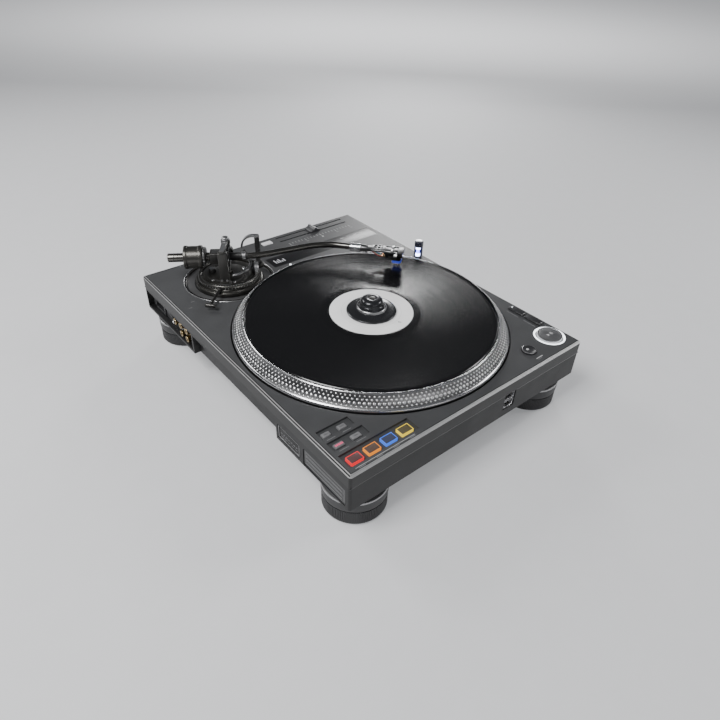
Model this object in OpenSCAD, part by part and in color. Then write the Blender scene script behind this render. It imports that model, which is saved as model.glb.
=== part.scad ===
// Direct-drive record player with an S-shaped tonearm, laid out for use with its
// short side to the front: tonearm at the back left, pitch fader at the back right.
// Millimetres. +X right, +Y back, +Z up; origin on the floor under the middle.
// Sub-parts are drawn in deck coordinates: X and Y from the deck's front left corner,
// Z from the deck's top face.

/* [Case] */
// Width of the case, left to right
case_w = 353; // [345:1:365]
// Depth of the case, front to back
case_d = 453; // [448:1:465]
// Height of the upper case
top_h = 17; // [16:0.5:20]
// Height of the lower case
lower_h = 31; // [29:0.5:34]
// Width of the bevel round the deck's edge
bevel = 2.4; // [1:0.2:3]
// Deck's height above the floor
deck_h = 88; // [86:1:90]

/* [Platter] */
// Spindle axis from the left edge
platter_x = 176.3; // [175.5:0.1:177]
// Spindle axis from the front edge
platter_y = 182.3; // [181.5:0.1:183]
// Radius of the platter at its rim
platter_r = 167.6; // [166:0.2:167.8]
// Height of the rim's outer edge above the deck
rim_z = 3; // [2:0.2:4]
// Radius of the platter's top lip
lip_r = 154.2; // [153.6:0.2:155]
// Height of the platter's top lip above the deck
lip_z = 16; // [15.6:0.1:16.4]
// Radius of the record
record_r = 151.5; // [150:0.5:152]
// Radius of the record's label
label_r = 51; // [45:1:52]
// Radius of the spindle's tip
spindle_r = 3.6; // [3.5:0.05:3.6]

/* [Tonearm] */
// Tonearm pivot from the left edge
arm_x = 91; // [90:0.5:92]
// Tonearm pivot from the front edge
arm_y = 378; // [377:0.5:380]
// Height of the tilt axis above the deck
arm_z = 33; // [32.5:0.5:35]
// Direction of the arm tube seen from above, in degrees
arm_heading = -33; // [-36:1:-31]
// Slope of the arm tube up to the headshell, in degrees
arm_slope = 0.35; // [0.2:0.05:0.5]
// Radius of the arm tube
tube_r = 4.2; // [3.8:0.1:4.4]
// Angle of the headshell to the arm tube, in degrees
offset_angle = 18; // [17:1:20]
// Radius of the counterweight
weight_r = 15.2; // [14:0.2:16]

/* [Controls] */
// Radius of the start and stop button
start_r = 15.2; // [14:0.2:16]
// Radius of the power button
power_r = 8.5; // [7.5:0.5:9]
// Width of a performance pad
pad_w = 15; // [14:0.5:16]
// Depth of a performance pad
pad_d = 10.4; // [9:0.2:11]
// Spacing of the performance pads
pad_pitch = 20.9; // [20:0.1:21.2]
// Length of the pitch fader's slots
fader_len = 124; // [110:1:124]

/* [Feet] */
// Radius of a foot
foot_r = 35.5; // [34:0.5:36]
// Distance of a foot's axis from the two nearest edges
foot_inset = 36; // [36:0.5:40]

/* [Hidden] */
$fn = 64;

eps = 0.01;
gap = 0.3;                       // clearance between pieces that move past each other
fit = 0.05;                      // running clearance of a shaft in its bearing
corner_r = 3;                    // radius of the case's upright edges
deck_t = 4;                      // thickness of the deck plate
wall_t = 5;                      // thickness of the case's walls
side_t = 12;                     // thickness of the left wall, which holds the panels
case_bottom = -top_h - lower_h;
cover_t = 3;                     // thickness of the bottom cover
set_back = 8;                    // depth of the hollow in the left wall
set_back_y = [125, 313];

well_r = platter_r + 1.8;        // platter's recess in the deck
well_z = -4.5;
skirt_z = -2.8;                  // lower edge of the platter's rim
motor_hole_r = 76;
arm_well_r = 58;                 // tonearm's recess in the deck
arm_well_z = -3;
arm_ring_r = 61;                 // bright ring round it
sleeve_r = 20;                   // guide sleeve under the tonearm base

connector_y = [317, 449];
connector_z = [-45, -20];
service_y = [82, 122];
service_z = [-44, -26];
rating_y = [7, 75];
rating_z = [-46, -24];
usb_x = [218, 236];
usb_z = [-38.5, -17];

display_x = [157, 344];
display_y = [367, 394];
display_t = 1.5;

start_pos = [330, 30];
ring_r = 19;                     // lit ring round the start and stop button
power_pos = [284.8, 25.4];
speed_x = 341.5;
speed_y = [62.5, 89];
speed_size = [9, 23];
pad_first = [18.2, 16.4];
pad_recess = [7, 9, 93.5, 27.5];
function_pos = [[15.8, 57.8], [34.8, 57.8], [17.5, 39.4], [38, 39.4]];
function_size = [[9.6, 6.4], [9.6, 6.4], [11.2, 6.2], [11.2, 6.2]];
function_recess = [[8.6, 53.2, 47.4, 65.4], [8.2, 34, 51.4, 47]];
recess_t = 2.5;
reset_pos = [187, 436.8];
reset_size = [16, 9];
fader_mid_x = 268;
fader_slot_y = [430.5, 443];
slot_w = 2.6;
fader_cap_x = 270;
lamp_pos = [334, 265.3];
lamp_r = 6.2;
lamp_h = 30.4;
lamp_window = [9, 22.5];
led_pos = [[178.8, 362.2, 1.6]];

plate_z = 6.4;                   // underside of the platter
hub_z = -2;                      // lower end of its hub
magnet_bottom = -8;
magnet_r = [64, 72];
stator_r = 61;
shaft_r = 5;
mat_z = 12.4;                    // platter's face under the slipmat
mat_t = 1.5;
record_t = 2;
record_z = mat_z + mat_t;
record_top = record_z + record_t;
label_t = 0.25;
clamp_r = 30.4;
clamp_h = 18.6;
spindle_top = mat_z + 15;

base_r = 40.8;                   // tonearm base
base_top = 10;
ring_z = [-2.8, 4];              // height ring
yoke_dir = -37;                  // direction the yoke faces
yoke_reach = 31;                 // from the pivot axis to the yoke's leg
yoke_top = 57;
rest_pos = [47, 2];              // arm rest, from the pivot axis
rest_top = 50;
clip_r = [15.6, 18.4];           // arm rest's blade, inner and outer
platform_r = [28, 31];
platform_z = [19.5, 22.5];
cue_dir = 60;                    // direction of the cue lever's hinge from the pivot axis
cue_r = 32;
dial_dir = -30;
dial_r = 10;
dial_z = 13;

// Arm tube in its own frame: X along the tube, Y to its left, Z up.
// One left bend and one right bend, joined by straights, in the frame's XY plane.
bend_1_r = 100;
bend_1_x = 24;
bend_1_angle = 19;
bend_2_r = 75;
straight_1 = 50.7;
straight_2 = 13.5;
collar_end = 27.5;
lock_len = 15;
shell_len = 60;
stylus_back = 8;                 // stylus from the headshell's front end
bend_1_end = [bend_1_x + bend_1_r * sin(bend_1_angle), bend_1_r * (1 - cos(bend_1_angle))];
bend_2_start = bend_1_end + straight_1 * [cos(bend_1_angle), sin(bend_1_angle)];
bend_2_centre = bend_2_start + bend_2_r * [sin(bend_1_angle), -cos(bend_1_angle)];
bend_2_end = bend_2_centre + bend_2_r * [sin(offset_angle), cos(offset_angle)];
lock_start = bend_2_end + straight_2 * [cos(offset_angle), -sin(offset_angle)];
shell_z = 3.2;                   // headshell's top face above the tube's axis
shell_t = 1.6;
shell_w = 19;
weight_x = [-54.8, -31];
hub_r = 7.4;                     // counterweight's hub, which carries the force dial
stub_end = -76.3;
// Height of the stylus tip under the tube's axis, where the sloping tube carries it
tip_reach = (lock_start + (lock_len + shell_len - stylus_back) * [cos(offset_angle), -sin(offset_angle)])[0];
tip_drop = arm_z + tip_reach * tan(arm_slope) - record_top;

foot_top = case_bottom - 1;
foot_ring_z = -56;
foot_grip_z = -67;

// Places its children in deck coordinates.
module deck() {
  translate([-case_w / 2, -case_d / 2, deck_h]) children();
}

// Places its children on the spindle axis, at the deck's height.
module at_spindle() {
  deck() translate([platter_x, platter_y, 0]) children();
}

// Places its children on the tonearm's pivot axis, at the deck's height.
module at_pivot() {
  deck() translate([arm_x, arm_y, 0]) children();
}

// Places its children in the swinging arm's frame, still level.
module swing_frame() {
  at_pivot() translate([0, 0, arm_z]) rotate([0, 0, arm_heading]) children();
}

// Places its children in the arm tube's own frame.
module arm_frame() {
  swing_frame() rotate([0, -arm_slope, 0]) children();
}

// Places its children where the headshell starts, with X along it.
module shell_frame() {
  arm_frame() translate([lock_start[0], lock_start[1], 0]) rotate([0, 0, -offset_angle]) children();
}

// Box from one corner to the opposite one.
module block(low, high) {
  translate(low) cube(high - low);
}

// Cylinder along Z between two heights.
module rod(r, z0, z1) {
  translate([0, 0, z0]) cylinder(r = r, h = z1 - z0);
}

// Cylinder along X between two places.
module rod_x(r, x0, x1) {
  translate([x0, 0, 0]) rotate([0, 90, 0]) cylinder(r = r, h = x1 - x0);
}

// Cylinder along Y between two places.
module rod_y(r, y0, y1) {
  translate([0, y0, 0]) rotate([-90, 0, 0]) cylinder(r = r, h = y1 - y0);
}

// Tube along Z between two heights.
module pipe(r_out, r_in, z0, z1) {
  translate([0, 0, z0]) difference() {
    cylinder(r = r_out, h = z1 - z0);
    translate([0, 0, -1]) cylinder(r = r_in, h = z1 - z0 + 2);
  }
}

// Flat slab with rounded upright corners.
module slab(w, d, h, r) {
  linear_extrude(h) {
    translate([r, 0]) square([w - 2 * r, d]);
    translate([0, r]) square([w, d - 2 * r]);
    for (x = [r, w - r], y = [r, d - r]) translate([x, y]) circle(r);
  }
}

// Ring sector about Z, between two angles.
module sector(r_in, r_out, a0, a1, z0, z1) {
  translate([0, 0, z0]) rotate([0, 0, a0])
    rotate_extrude(angle = a1 - a0) translate([r_in, 0]) square([r_out - r_in, z1 - z0]);
}

// Case outline with its top edge bevelled.
module bevelled_case() {
  side = [[0, -top_h], [case_w, -top_h], [case_w, -bevel], [case_w - bevel, 0], [bevel, 0], [0, -bevel]];
  front = [[0, -top_h], [case_d, -top_h], [case_d, -bevel], [case_d - bevel, 0], [bevel, 0], [0, -bevel]];
  intersection() {
    translate([0, case_d, 0]) rotate([90, 0, 0]) linear_extrude(case_d) polygon(side);
    rotate([90, 0, 90]) linear_extrude(case_w) polygon(front);
    translate([0, 0, -top_h]) slab(case_w, case_d, top_h, corner_r);
  }
}

module top_case() {
  deck() color("#2c2d30") difference() {
    union() {
      difference() {
        bevelled_case();
        block([wall_t, wall_t, -top_h - 1], [case_w - wall_t, case_d - wall_t, -deck_t]);
      }
      intersection() {
        translate([platter_x, platter_y, 0]) rod(well_r + 3, well_z - 3, -deck_t + eps);
        block([1, 1, -top_h], [case_w - 1, case_d - 1, 0]);
      }
      translate([arm_x, arm_y, 0]) rod(arm_ring_r + 2, arm_well_z - 4, -deck_t + eps);
      block([pad_recess[0] - 2, pad_recess[1] - 2, -recess_t - 2.5], [pad_recess[2] + 2, pad_recess[3] + 2, -deck_t + eps]);
    }
    translate([platter_x, platter_y, 0]) {
      rod(well_r, well_z, 1);
      rod(motor_hole_r, -10, 1);
    }
    translate([arm_x, arm_y, 0]) {
      rod(arm_well_r, arm_well_z, 1);
      rod(sleeve_r + gap, arm_well_z - 6, 1);
    }
    block([display_x[0], display_y[0], -display_t], [display_x[1], display_y[1], 1]);
    translate([start_pos[0], start_pos[1], 0]) {
      rod(ring_r, -2, 1);
      rod(start_r + gap, -deck_t - 1, 1);
    }
    translate([power_pos[0], power_pos[1], 0]) rod(power_r + gap, -deck_t - 1, 1);
    for (y = speed_y) translate([speed_x, y, -deck_t - 1]) button_hole(speed_size, deck_t + 2);
    block([pad_recess[0], pad_recess[1], -recess_t], [pad_recess[2], pad_recess[3], 1]);
    for (i = [0:3]) translate([pad_first[0] + i * pad_pitch, pad_first[1], -8]) button_hole([pad_w, pad_d], 10);
    for (r = function_recess) block([r[0], r[1], -recess_t], [r[2], r[3], 1]);
    for (i = [0:3])
      translate([function_pos[i][0], function_pos[i][1], -8]) button_hole(function_size[i], 10);
    translate([reset_pos[0], reset_pos[1], -8]) button_hole(reset_size, 10);
    for (y = fader_slot_y)
      block([fader_mid_x - fader_len / 2, y - slot_w / 2, -8], [fader_mid_x + fader_len / 2, y + slot_w / 2, 1]);
    translate([lamp_pos[0], lamp_pos[1], 0]) rod(lamp_r + gap, -8, 1);
    for (p = led_pos) translate([p[0], p[1], 0]) rod(p[2], -8, 1);
    block([usb_x[0], -1, -top_h - 1], [usb_x[1], wall_t + 1, usb_z[1] + eps]);
  }
}

// Opening for a rectangular button, centred on it.
module button_hole(size, h) {
  w = size[0] + 2 * gap;
  d = size[1] + 2 * gap;
  translate([-w / 2, -d / 2, 0]) slab(w, d, h, 1.2);
}

module lower_case() {
  deck() color("#1b1c1e") difference() {
    translate([0, 0, case_bottom]) slab(case_w, case_d, lower_h, corner_r);
    block([side_t, wall_t, case_bottom - 1], [case_w - wall_t, case_d - wall_t, -top_h + 1]);
    block([-1, set_back_y[0], case_bottom - 1], [set_back, set_back_y[1], -top_h - 4]);
    block([-1, connector_y[0], connector_z[0]], [side_t + 1, connector_y[1], connector_z[1]]);
    block([-1, service_y[0], service_z[0]], [2, service_y[1], service_z[1]]);
    block([-1, rating_y[0], rating_z[0]], [2, rating_y[1], rating_z[1]]);
    block([usb_x[0], -1, usb_z[0]], [usb_x[1], wall_t + 1, -top_h + 1]);
  }
}

module bottom_cover() {
  deck() color("#202123") difference() {
    union() {
      block([side_t + eps, wall_t + eps, case_bottom],
            [case_w - wall_t - eps, case_d - wall_t - eps, case_bottom + cover_t]);
      for (p = foot_places()) translate([p[0], p[1], 0]) rod(11, case_bottom + cover_t, -top_h - 4);
    }
    for (p = foot_places()) translate([p[0], p[1], 0]) rod(4 + fit, case_bottom - 1, -top_h - 6);
    for (i = [-6:6])
      translate([platter_x + i * 12, platter_y, 0]) block([-2, -40, case_bottom - 1], [2, 40, case_bottom + cover_t + 1]);
  }
}

function foot_places() = [
  [foot_inset, foot_inset], [case_w - foot_inset, foot_inset],
  [foot_inset, case_d - foot_inset], [case_w - foot_inset, case_d - foot_inset]
];

// Places of the four phono sockets on the connector panel, as Y and Z.
function socket_places() = [for (y = [334, 350], z = [-38.5, -26.5]) [y, z]];
inlet_y = [408, 438];

module connector_panel() {
  deck() color("#3a3b3e") difference() {
    block([8, connector_y[0], connector_z[0]], [side_t, connector_y[1], connector_z[1]]);
    for (p = socket_places()) translate([0, p[0], p[1]]) rod_x(3, 7, 13);
    block([7, inlet_y[0] + 2, -43], [13, inlet_y[1] - 2, -22]);
    translate([0, 372, -32.5]) rod_x(2, 7, 13);
  }
}

// Four phono sockets and the earth terminal, as separate solids.
module signal_sockets() {
  deck() color("#c9a24a") {
    for (p = socket_places()) translate([0, p[0], p[1]]) difference() {
      union() {
        rod_x(4.15, 1, 6.5);
        rod_x(5.6, 6.5, 8);
        rod_x(3, 8 - eps, 20);
      }
      rod_x(1.7, 0, 12);
    }
    translate([0, 372, -32.5]) {
      rod_x(2, 1, 18);
      difference() {
        rod_x(4.6, 3, 8);
        rod_x(2, 2, 9);
      }
    }
  }
}

module power_inlet() {
  y0 = inlet_y[0];
  y1 = inlet_y[1];
  deck() color("#151516") {
    difference() {
      union() {
        block([6, y0, -44], [8, y1, -21]);
        block([8, y0 + 2, -43], [23.4, y1 - 2, -22]);
      }
      block([5, y0 + 3, -40.5], [20, y1 - 3, -24.5]);
    }
    for (i = [-1:1]) translate([0, (y0 + y1) / 2 + i * 7, 2 * abs(i)]) block([12, -1, -34.5], [20 + eps, 1, -31]);
  }
}

// Service port cover and ribbed plate on the left wall.
module side_panels() {
  deck() color("#4a4b4e") {
    difference() {
      block([0.6, service_y[0], service_z[0]], [2, service_y[1], service_z[1]]);
      block([-1, service_y[0] + 2, service_z[0] + 2], [1.4, service_y[1] - 2, service_z[1] - 2]);
    }
    block([1, rating_y[0], rating_z[0]], [2, rating_y[1], rating_z[1]]);
    for (i = [0:2]) block([0.3, rating_y[0] + 4, rating_z[0] + 4 + 5.4 * i], [1 + eps, rating_y[1] - 4, rating_z[0] + 6 + 5.4 * i]);
  }
}

// Two USB sockets, one above the other.
module usb_ports() {
  mid_z = (usb_z[0] + usb_z[1]) / 2;
  deck() color("#9a9b9e") {
    difference() {
      block([usb_x[0], 0.8, usb_z[0]], [usb_x[1], 22, usb_z[1]]);
      for (s = [0, 1]) {
        low = usb_z[0] + 1.2 + s * (mid_z - usb_z[0] - 0.2);
        block([usb_x[0] + 1.6, 0, low], [usb_x[1] - 1.6, 14, low + 8.3]);
      }
    }
    for (s = [0, 1]) {
      low = usb_z[0] + 1.2 + s * (mid_z - usb_z[0] - 0.2);
      block([usb_x[0] + 3.4, 3, low + 6], [usb_x[1] - 3.4, 14 + eps, low + 7.6]);
    }
  }
}

module display_window() {
  deck() color("#050506") block([display_x[0], display_y[0], -display_t], [display_x[1], display_y[1], -0.1]);
}

// Lit ring round the start and stop button, and an indicator lens.
module status_lights() {
  deck() color("#f4f6ff") {
    translate([start_pos[0], start_pos[1], 0]) pipe(ring_r, ring_r - 2.6, -2, 0.3);
    for (p = led_pos) translate([p[0], p[1], 0]) rod(p[2], -deck_t, 0.5);
  }
}

// Fixed coils of the motor, on a laminated core.
module motor_stator() {
  at_spindle() color("#b4713a") {
    difference() {
      union() {
        rod(34, -26, hub_z - 1);
        for (i = [0:11]) rotate([0, 0, i * 30]) block([30, -6, -15], [stator_r, 6, 1]);
      }
      rod(13, -27, 2);
      rod(24, hub_z - 1, 2);
    }
    pipe(58, 34 - eps, -22, -19);
  }
}

module bearing_housing() {
  at_spindle() color("#b58b3c") {
    difference() {
      union() {
        rod(13, -34, hub_z - 1.5);
        rod(24, case_bottom + cover_t, -34 + eps);
      }
      rod(shaft_r + fit, -34, 3);
    }
  }
}

// Control board on its stand-offs.
module main_board() {
  deck() color("#1f5c33") {
    block([120, 24, -32], [300, 72, -30.4]);
    for (x = [128, 292], y = [30, 66]) translate([x, y, 0]) rod(3, case_bottom + cover_t, -32 + eps);
    for (x = [150, 186, 222, 258]) block([x, 38, -30.4 - eps], [x + 14, 52, -28]);
  }
}

// Mains transformer and rectifier on a plate.
module power_supply() {
  deck() color("#8f8f86") {
    block([210, 350, case_bottom + cover_t], [306, 428, case_bottom + cover_t + 2]);
    block([218, 362, case_bottom + cover_t + 2 - eps], [266, 416, -18]);
    for (y = [366, 384, 402]) translate([286, y, 0]) rod(7, case_bottom + cover_t + 2 - eps, -22);
  }
}

module platter() {
  at_spindle() color("#6f7176") rotate_extrude($fn = 128) polygon([
    [shaft_r, hub_z], [18, hub_z], [22, plate_z], [platter_r - 7, plate_z], [platter_r - 7, skirt_z],
    [platter_r - 0.6, skirt_z], [platter_r, skirt_z + 0.6], [platter_r, rim_z - 0.6],
    [platter_r - 0.6, rim_z], [lip_r + 0.6, lip_z - 0.4], [lip_r, lip_z], [lip_r - 0.8, lip_z],
    [lip_r - 0.8, mat_z], [shaft_r, mat_z]
  ]);
}

module rotor_magnet() {
  at_spindle() color("#3b3d40") pipe(magnet_r[1], magnet_r[0], magnet_bottom, plate_z);
}

module spindle() {
  at_spindle() color("#c9ccd0") {
    rod(shaft_r, -33.5, mat_z);
    rod(spindle_r, mat_z - eps, spindle_top);
    translate([0, 0, spindle_top - eps]) cylinder(r1 = spindle_r, r2 = 1.6, h = 1.6);
  }
}

module slipmat() {
  at_spindle() color("#26262a") pipe(record_r - 1, spindle_r, mat_z, mat_z + mat_t);
}

module record() {
  at_spindle() color("#0b0b0c") difference() {
    pipe(record_r, spindle_r, record_z, record_top);
    rod(label_r, record_top - 0.15, record_top + 1);
  }
}

module record_label() {
  at_spindle() color("#f4f4f4") pipe(label_r, spindle_r, record_top - 0.15, record_top - 0.15 + label_t);
}

clamp_z = record_top - 0.15 + label_t;

module record_clamp() {
  at_spindle() color("#17181a") translate([0, 0, clamp_z]) difference() {
    rotate_extrude() polygon([
      [0, 0], [clamp_r, 0], [clamp_r, 1.8], [clamp_r - 1.2, 3], [19, 4.8], [18, 5.6], [18, 8],
      [16.8, 9.4], [14.6, 10.4], [13.8, 11.2], [13.8, 14.6], [12.4, 17], [8, clamp_h - 0.2], [0, clamp_h]
    ]);
    translate([0, 0, -1]) cylinder(r = spindle_r + fit, h = 15.6);
  }
}

// Ring that sets the tonearm's height, with its T-shaped handle.
module height_ring() {
  handle_dir = -135.5;
  at_pivot() color("#4b4a47") {
    pipe(44.8, base_r + gap, ring_z[0], ring_z[1]);
    rotate([0, 0, handle_dir]) translate([0, 0, 7.2]) {
      rod_x(1.8, 42.5, 80.5);
      translate([43.5, 0, -4]) rod(2.6, -1, 4);
      translate([82.3, 0, 0]) rod_y(2.6, -6.5, 6.5);
      rod_x(2.8, 78.5, 83);
    }
  }
}

module arm_base() {
  lobe = [rest_pos[0] * cos(rest_pos[1]), rest_pos[0] * sin(rest_pos[1])];
  at_pivot() color("#3a3937") {
    difference() {
      union() {
        rod(base_r, ring_z[1] + gap, base_top);
        rod(base_r, -2.7, ring_z[1] + 2 * gap);
        rod(sleeve_r, -14, -2.7 + eps);
        translate([30, -7, ring_z[1] + gap]) cube([lobe[0] - 30, 14, 3.7]);
        translate([lobe[0], lobe[1], ring_z[1] + gap]) cylinder(r = 7, h = 3.7);
      }
      rod(36.5, base_top - 2.2, base_top + 1);
      rod(6, -20, base_top - 4);
      rod(3 + fit, base_top - 5, base_top + 1);
      rotate([0, 0, dial_dir])
        block([dial_hub_x() - gap, -dial_r - gap, dial_z - dial_r - gap], [50, dial_r + gap, 20]);
    }
    pipe(34, 3 + fit, base_top - 2.2 - eps, base_top - 0.8);
    pipe(6, 3 + fit, base_top - 0.8 - eps, base_top + 3);
    rotate([0, 0, dial_dir]) block([30, -5, base_top - 3], [dial_hub_x() - gap, 5, dial_z + 5]);
  }
}

function dial_hub_x() = 34.5;

// Small knob that locks the height ring.
module height_lock_knob() {
  at_pivot() rotate([0, 0, 142]) translate([22, 0, 0]) color("#202123") {
    rod(5, base_top - 0.8 + gap, 14.6);
    rod(3.8, 14.6 - eps, 15);
  }
}

// Arch that carries the pivot's upper bearing: a leg beside the arm and a beam over it.
module yoke() {
  at_pivot() rotate([0, 0, yoke_dir]) color("#1d1d1e") {
    difference() {
      union() {
        translate([-5.8, -yoke_reach - 4, base_top - 0.8]) cube([11.6, 8, yoke_top - base_top + 0.8 - 3]);
        translate([-3.7, -yoke_reach - 4, yoke_top - 5]) cube([7.4, yoke_reach + 4, 5]);
        rod(6, yoke_top - 5, yoke_top);
        rod(4.4, yoke_top - eps, yoke_top + 3.2);
        translate([0, 0, yoke_top + 3.2 - eps]) cylinder(r1 = 4.4, r2 = 3.2, h = 0.9);
      }
      rod(2 + fit, yoke_top - 6, yoke_top - 1.5);
    }
  }
}

module arm_rest() {
  at_pivot() rotate([0, 0, rest_pos[1]]) translate([rest_pos[0], 0, 0]) color("#161617") {
    rod(3.4, ring_z[1] + gap + 3.7, rest_top - 3.4);
    rod(4.4, ring_z[1] + gap + 3.7, 12);
    rod(2, rest_top - 3.5, rest_top - 0.4);
    translate([-2, -14, 25.5]) cube([4, 11.4, 2]);
    translate([-2, -4.4, 25.5]) cube([4, 2, 5]);
  }
}

// Curved blade that turns over the parked tube. Open, it points to the back left.
module rest_clip() {
  at_pivot() rotate([0, 0, rest_pos[1]]) translate([rest_pos[0], 0, 0]) rotate([0, 0, -42]) color("#8d8f93") {
    difference() {
      union() {
        rod(3.6, rest_top - 3, rest_top);
        translate([-clip_r[1] / 2 + 5, 3.2, rest_top - clip_r[1] + 0.4]) rotate([90, 0, 0])
          rotate([0, 0, 90]) linear_extrude(6.4) difference() {
            intersection() {
              circle(clip_r[1] - 0.4);
              square(clip_r[1]);
            }
            circle(clip_r[0]);
          }
        translate([-clip_r[1] / 2 + 4, -3.2, rest_top - 2.4]) cube([clip_r[1] / 2 - 4, 6.4, 2.4]);
      }
      rod(2 + fit, rest_top - 4, rest_top - 0.35);
    }
  }
}

module cue_lever() {
  at_pivot() rotate([0, 0, cue_dir]) translate([cue_r, 0, base_top + 4]) rotate([0, 0, -50]) color("#1a1a1b") {
    rod_y(3, -4, 4);
    rod_x(1.6, 0, 22);
    translate([22, 0, 0]) rod_x(3, -1, 7);
  }
}

// Curved platform that lifts the tube, on its guide post.
module lift_platform() {
  at_pivot() color("#a9abae") {
    sector(platform_r[0], platform_r[1], -108, 4, platform_z[0], platform_z[1]);
    rotate([0, 0, -62]) {
      translate([26.5, -4, 13]) cube([1.5 + eps, 8, platform_z[1] - 13.5]);
      translate([24, 0, 0]) rod(2.6, base_top - 0.8 + gap, platform_z[1] - 0.5);
    }
  }
}

// Dial that sets the sideways bias of the arm, on a level axis that points outwards.
module antiskate_dial() {
  at_pivot() rotate([0, 0, dial_dir]) translate([0, 0, dial_z]) color("#b9babd") {
    rod_x(dial_r, dial_hub_x(), dial_hub_x() + 1.6);
    rod_x(dial_r - 1.4, dial_hub_x() + 1.6 - eps, dial_hub_x() + 5);
  }
}

// Frame that swings about the upright axis and carries the arm's tilt bearings.
module gimbal() {
  swing_frame() color("#232325") {
    difference() {
      union() {
        block([-4, -13, -15], [4, 13, 15]);
        rod_y(7, 12, 20);
      }
      block([-5, -8, -9.8], [5, 8, 9.8]);
      rod_y(2 + fit, -14, 18.5);
    }
    rod(3, base_top - 3 - arm_z, -15 + eps);
    rod(2, 15 - eps, yoke_top - 2 - arm_z);
  }
}

// Bend of the arm tube: a part of a ring, in the frame's XY plane.
module tube_bend(centre, r, a0, a1) {
  translate([centre[0], centre[1], 0]) rotate([0, 0, a0])
    rotate_extrude(angle = a1 - a0) translate([r, 0]) circle(tube_r - 0.04);
}

// Straight of the arm tube from a point, in a direction.
module tube_straight(from, angle, length) {
  translate([from[0], from[1], 0]) rotate([0, 0, angle]) rod_x(tube_r, -0.6, length + 0.6);
}

module arm_tube() {
  arm_frame() color("#55534f") {
    rod_x(5, -8, collar_end);
    rod_x(5.5, 19.5, 24);
    difference() {
      block([-22, -8, -7.5], [-6.5, 8, 7.5]);
      block([-19.5, -5.5, 4.5], [-9, 5.5, 8]);
    }
    rod_y(2, -11.5, 11.5);
    tube_bend([bend_1_x, bend_1_r], bend_1_r, -90, -90 + bend_1_angle);
    tube_straight(bend_1_end, bend_1_angle, straight_1);
    tube_bend(bend_2_centre, bend_2_r, 90 - offset_angle, 90 + bend_1_angle);
    tube_straight(bend_2_end, -offset_angle, straight_2 + 4.2);
  }
}

module rear_stub() {
  arm_frame() color("#6b6964") {
    rod_x(5.8, stub_end + 0.8, -22);
    rod_x(5.1, stub_end, stub_end + 0.8 + eps);
  }
}

module counterweight() {
  x0 = weight_x[0];
  x1 = weight_x[1];
  arm_frame() color("#5d5c58") rotate([0, 90, 0]) rotate_extrude() polygon([
    [5.8 + fit, x0], [weight_r - 0.8, x0], [weight_r, x0 + 0.8], [weight_r, x0 + 4.4],
    [weight_r - 0.6, x0 + 5], [weight_r - 0.6, x1 - 5.6], [weight_r, x1 - 5], [weight_r, x1 - 0.8],
    [weight_r - 0.8, x1], [hub_r, x1], [hub_r, x1 + 4.4], [5.8 + fit, x1 + 4.4]
  ]);
}

module force_dial() {
  arm_frame() color("#151515") rotate([0, 90, 0]) difference() {
    rod(13, weight_x[1] + 0.1, weight_x[1] + 4.2);
    rod(hub_r + fit, weight_x[1] - 1, weight_x[1] + 6);
  }
}

module locking_collar() {
  shell_frame() color("#d9dbde") difference() {
    union() {
      rod_x(5.3, 0, lock_len - 4);
      rod_x(5.8, lock_len - 4 - eps, lock_len);
    }
    rod_x(tube_r + fit, -1, 5 + gap);
    rod_x(3.2, 4, lock_len + 1);
  }
}

// Carrier for the cartridge: plug, neck, slotted plate and finger lift.
module headshell() {
  x0 = lock_len;
  x1 = lock_len + shell_len;
  shell_frame() color("#3c3c3f") {
    rod_x(3, 6, x0 + 2);
    rod_x(5, x0 + 0.1, x0 + 9);
    block([x0 + 5, -4.4, shell_z - 5], [x0 + 16, 4.4, shell_z]);
    difference() {
      union() {
        block([x0 + 14, -shell_w / 2, shell_z - shell_t], [x1 - 3, shell_w / 2, shell_z]);
        block([x0 + 14, -shell_w / 2 + 3, shell_z - shell_t], [x1, shell_w / 2 - 3, shell_z]);
      }
      for (y = [-6, 6]) {
        block([x0 + 26, y - 1.3, shell_z - 5], [x1 - 9, y + 1.3, shell_z + 1]);
        translate([x0 + 20, y, 0]) rod(1.5, shell_z - 5, shell_z + 1);
      }
      for (i = [0:2]) translate([x0 + 20 + 6 * i, 0, 0]) rod(1.9, shell_z - 5, shell_z + 1);
    }
    block([x1 - 12, -shell_w / 2 - 9, shell_z - 1.2], [x1 - 7.5, -shell_w / 2 + 1, shell_z - 0.2]);
    block([x1 - 12, -shell_w / 2 - 13, shell_z - 0.6], [x1 - 7.5, -shell_w / 2 - 9 + eps, shell_z + 1.2]);
    for (y = [-6, 6]) translate([x1 - 16, y, 0]) rod(2, shell_z - eps, shell_z + 1.4);
  }
}

module cartridge() {
  x1 = lock_len + shell_len;
  top = shell_z - shell_t;
  shell_frame() color("#121214") {
    block([x1 - 27, -8.5, top - 3.4], [x1 - 6.5, 8.5, top]);
    block([x1 - 26, -5.5, top - 12.5], [x1 - 2, 5.5, top - 3.4 + eps]);
  }
  shell_frame() color("#c08a3e") for (y = [-3.6, -1.2, 1.2, 3.6]) translate([0, y, top - 8]) rod_x(0.6, x1 - 31, x1 - 26 + eps);
}

// Replaceable stylus: grip, cantilever and tip. The tip stands just clear of the groove.
module stylus() {
  x1 = lock_len + shell_len;
  top = shell_z - shell_t - 12.5;
  shell_frame() color("#1a2a7a") {
    block([x1 - 16, -4.2, top - 4.2], [x1 - 3, 4.2, top]);
    translate([x1 - stylus_back, 0, -tip_drop + 0.15]) cylinder(r1 = 0.3, r2 = 0.7, h = tip_drop + top - 4 - 0.15);
  }
}

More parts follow.
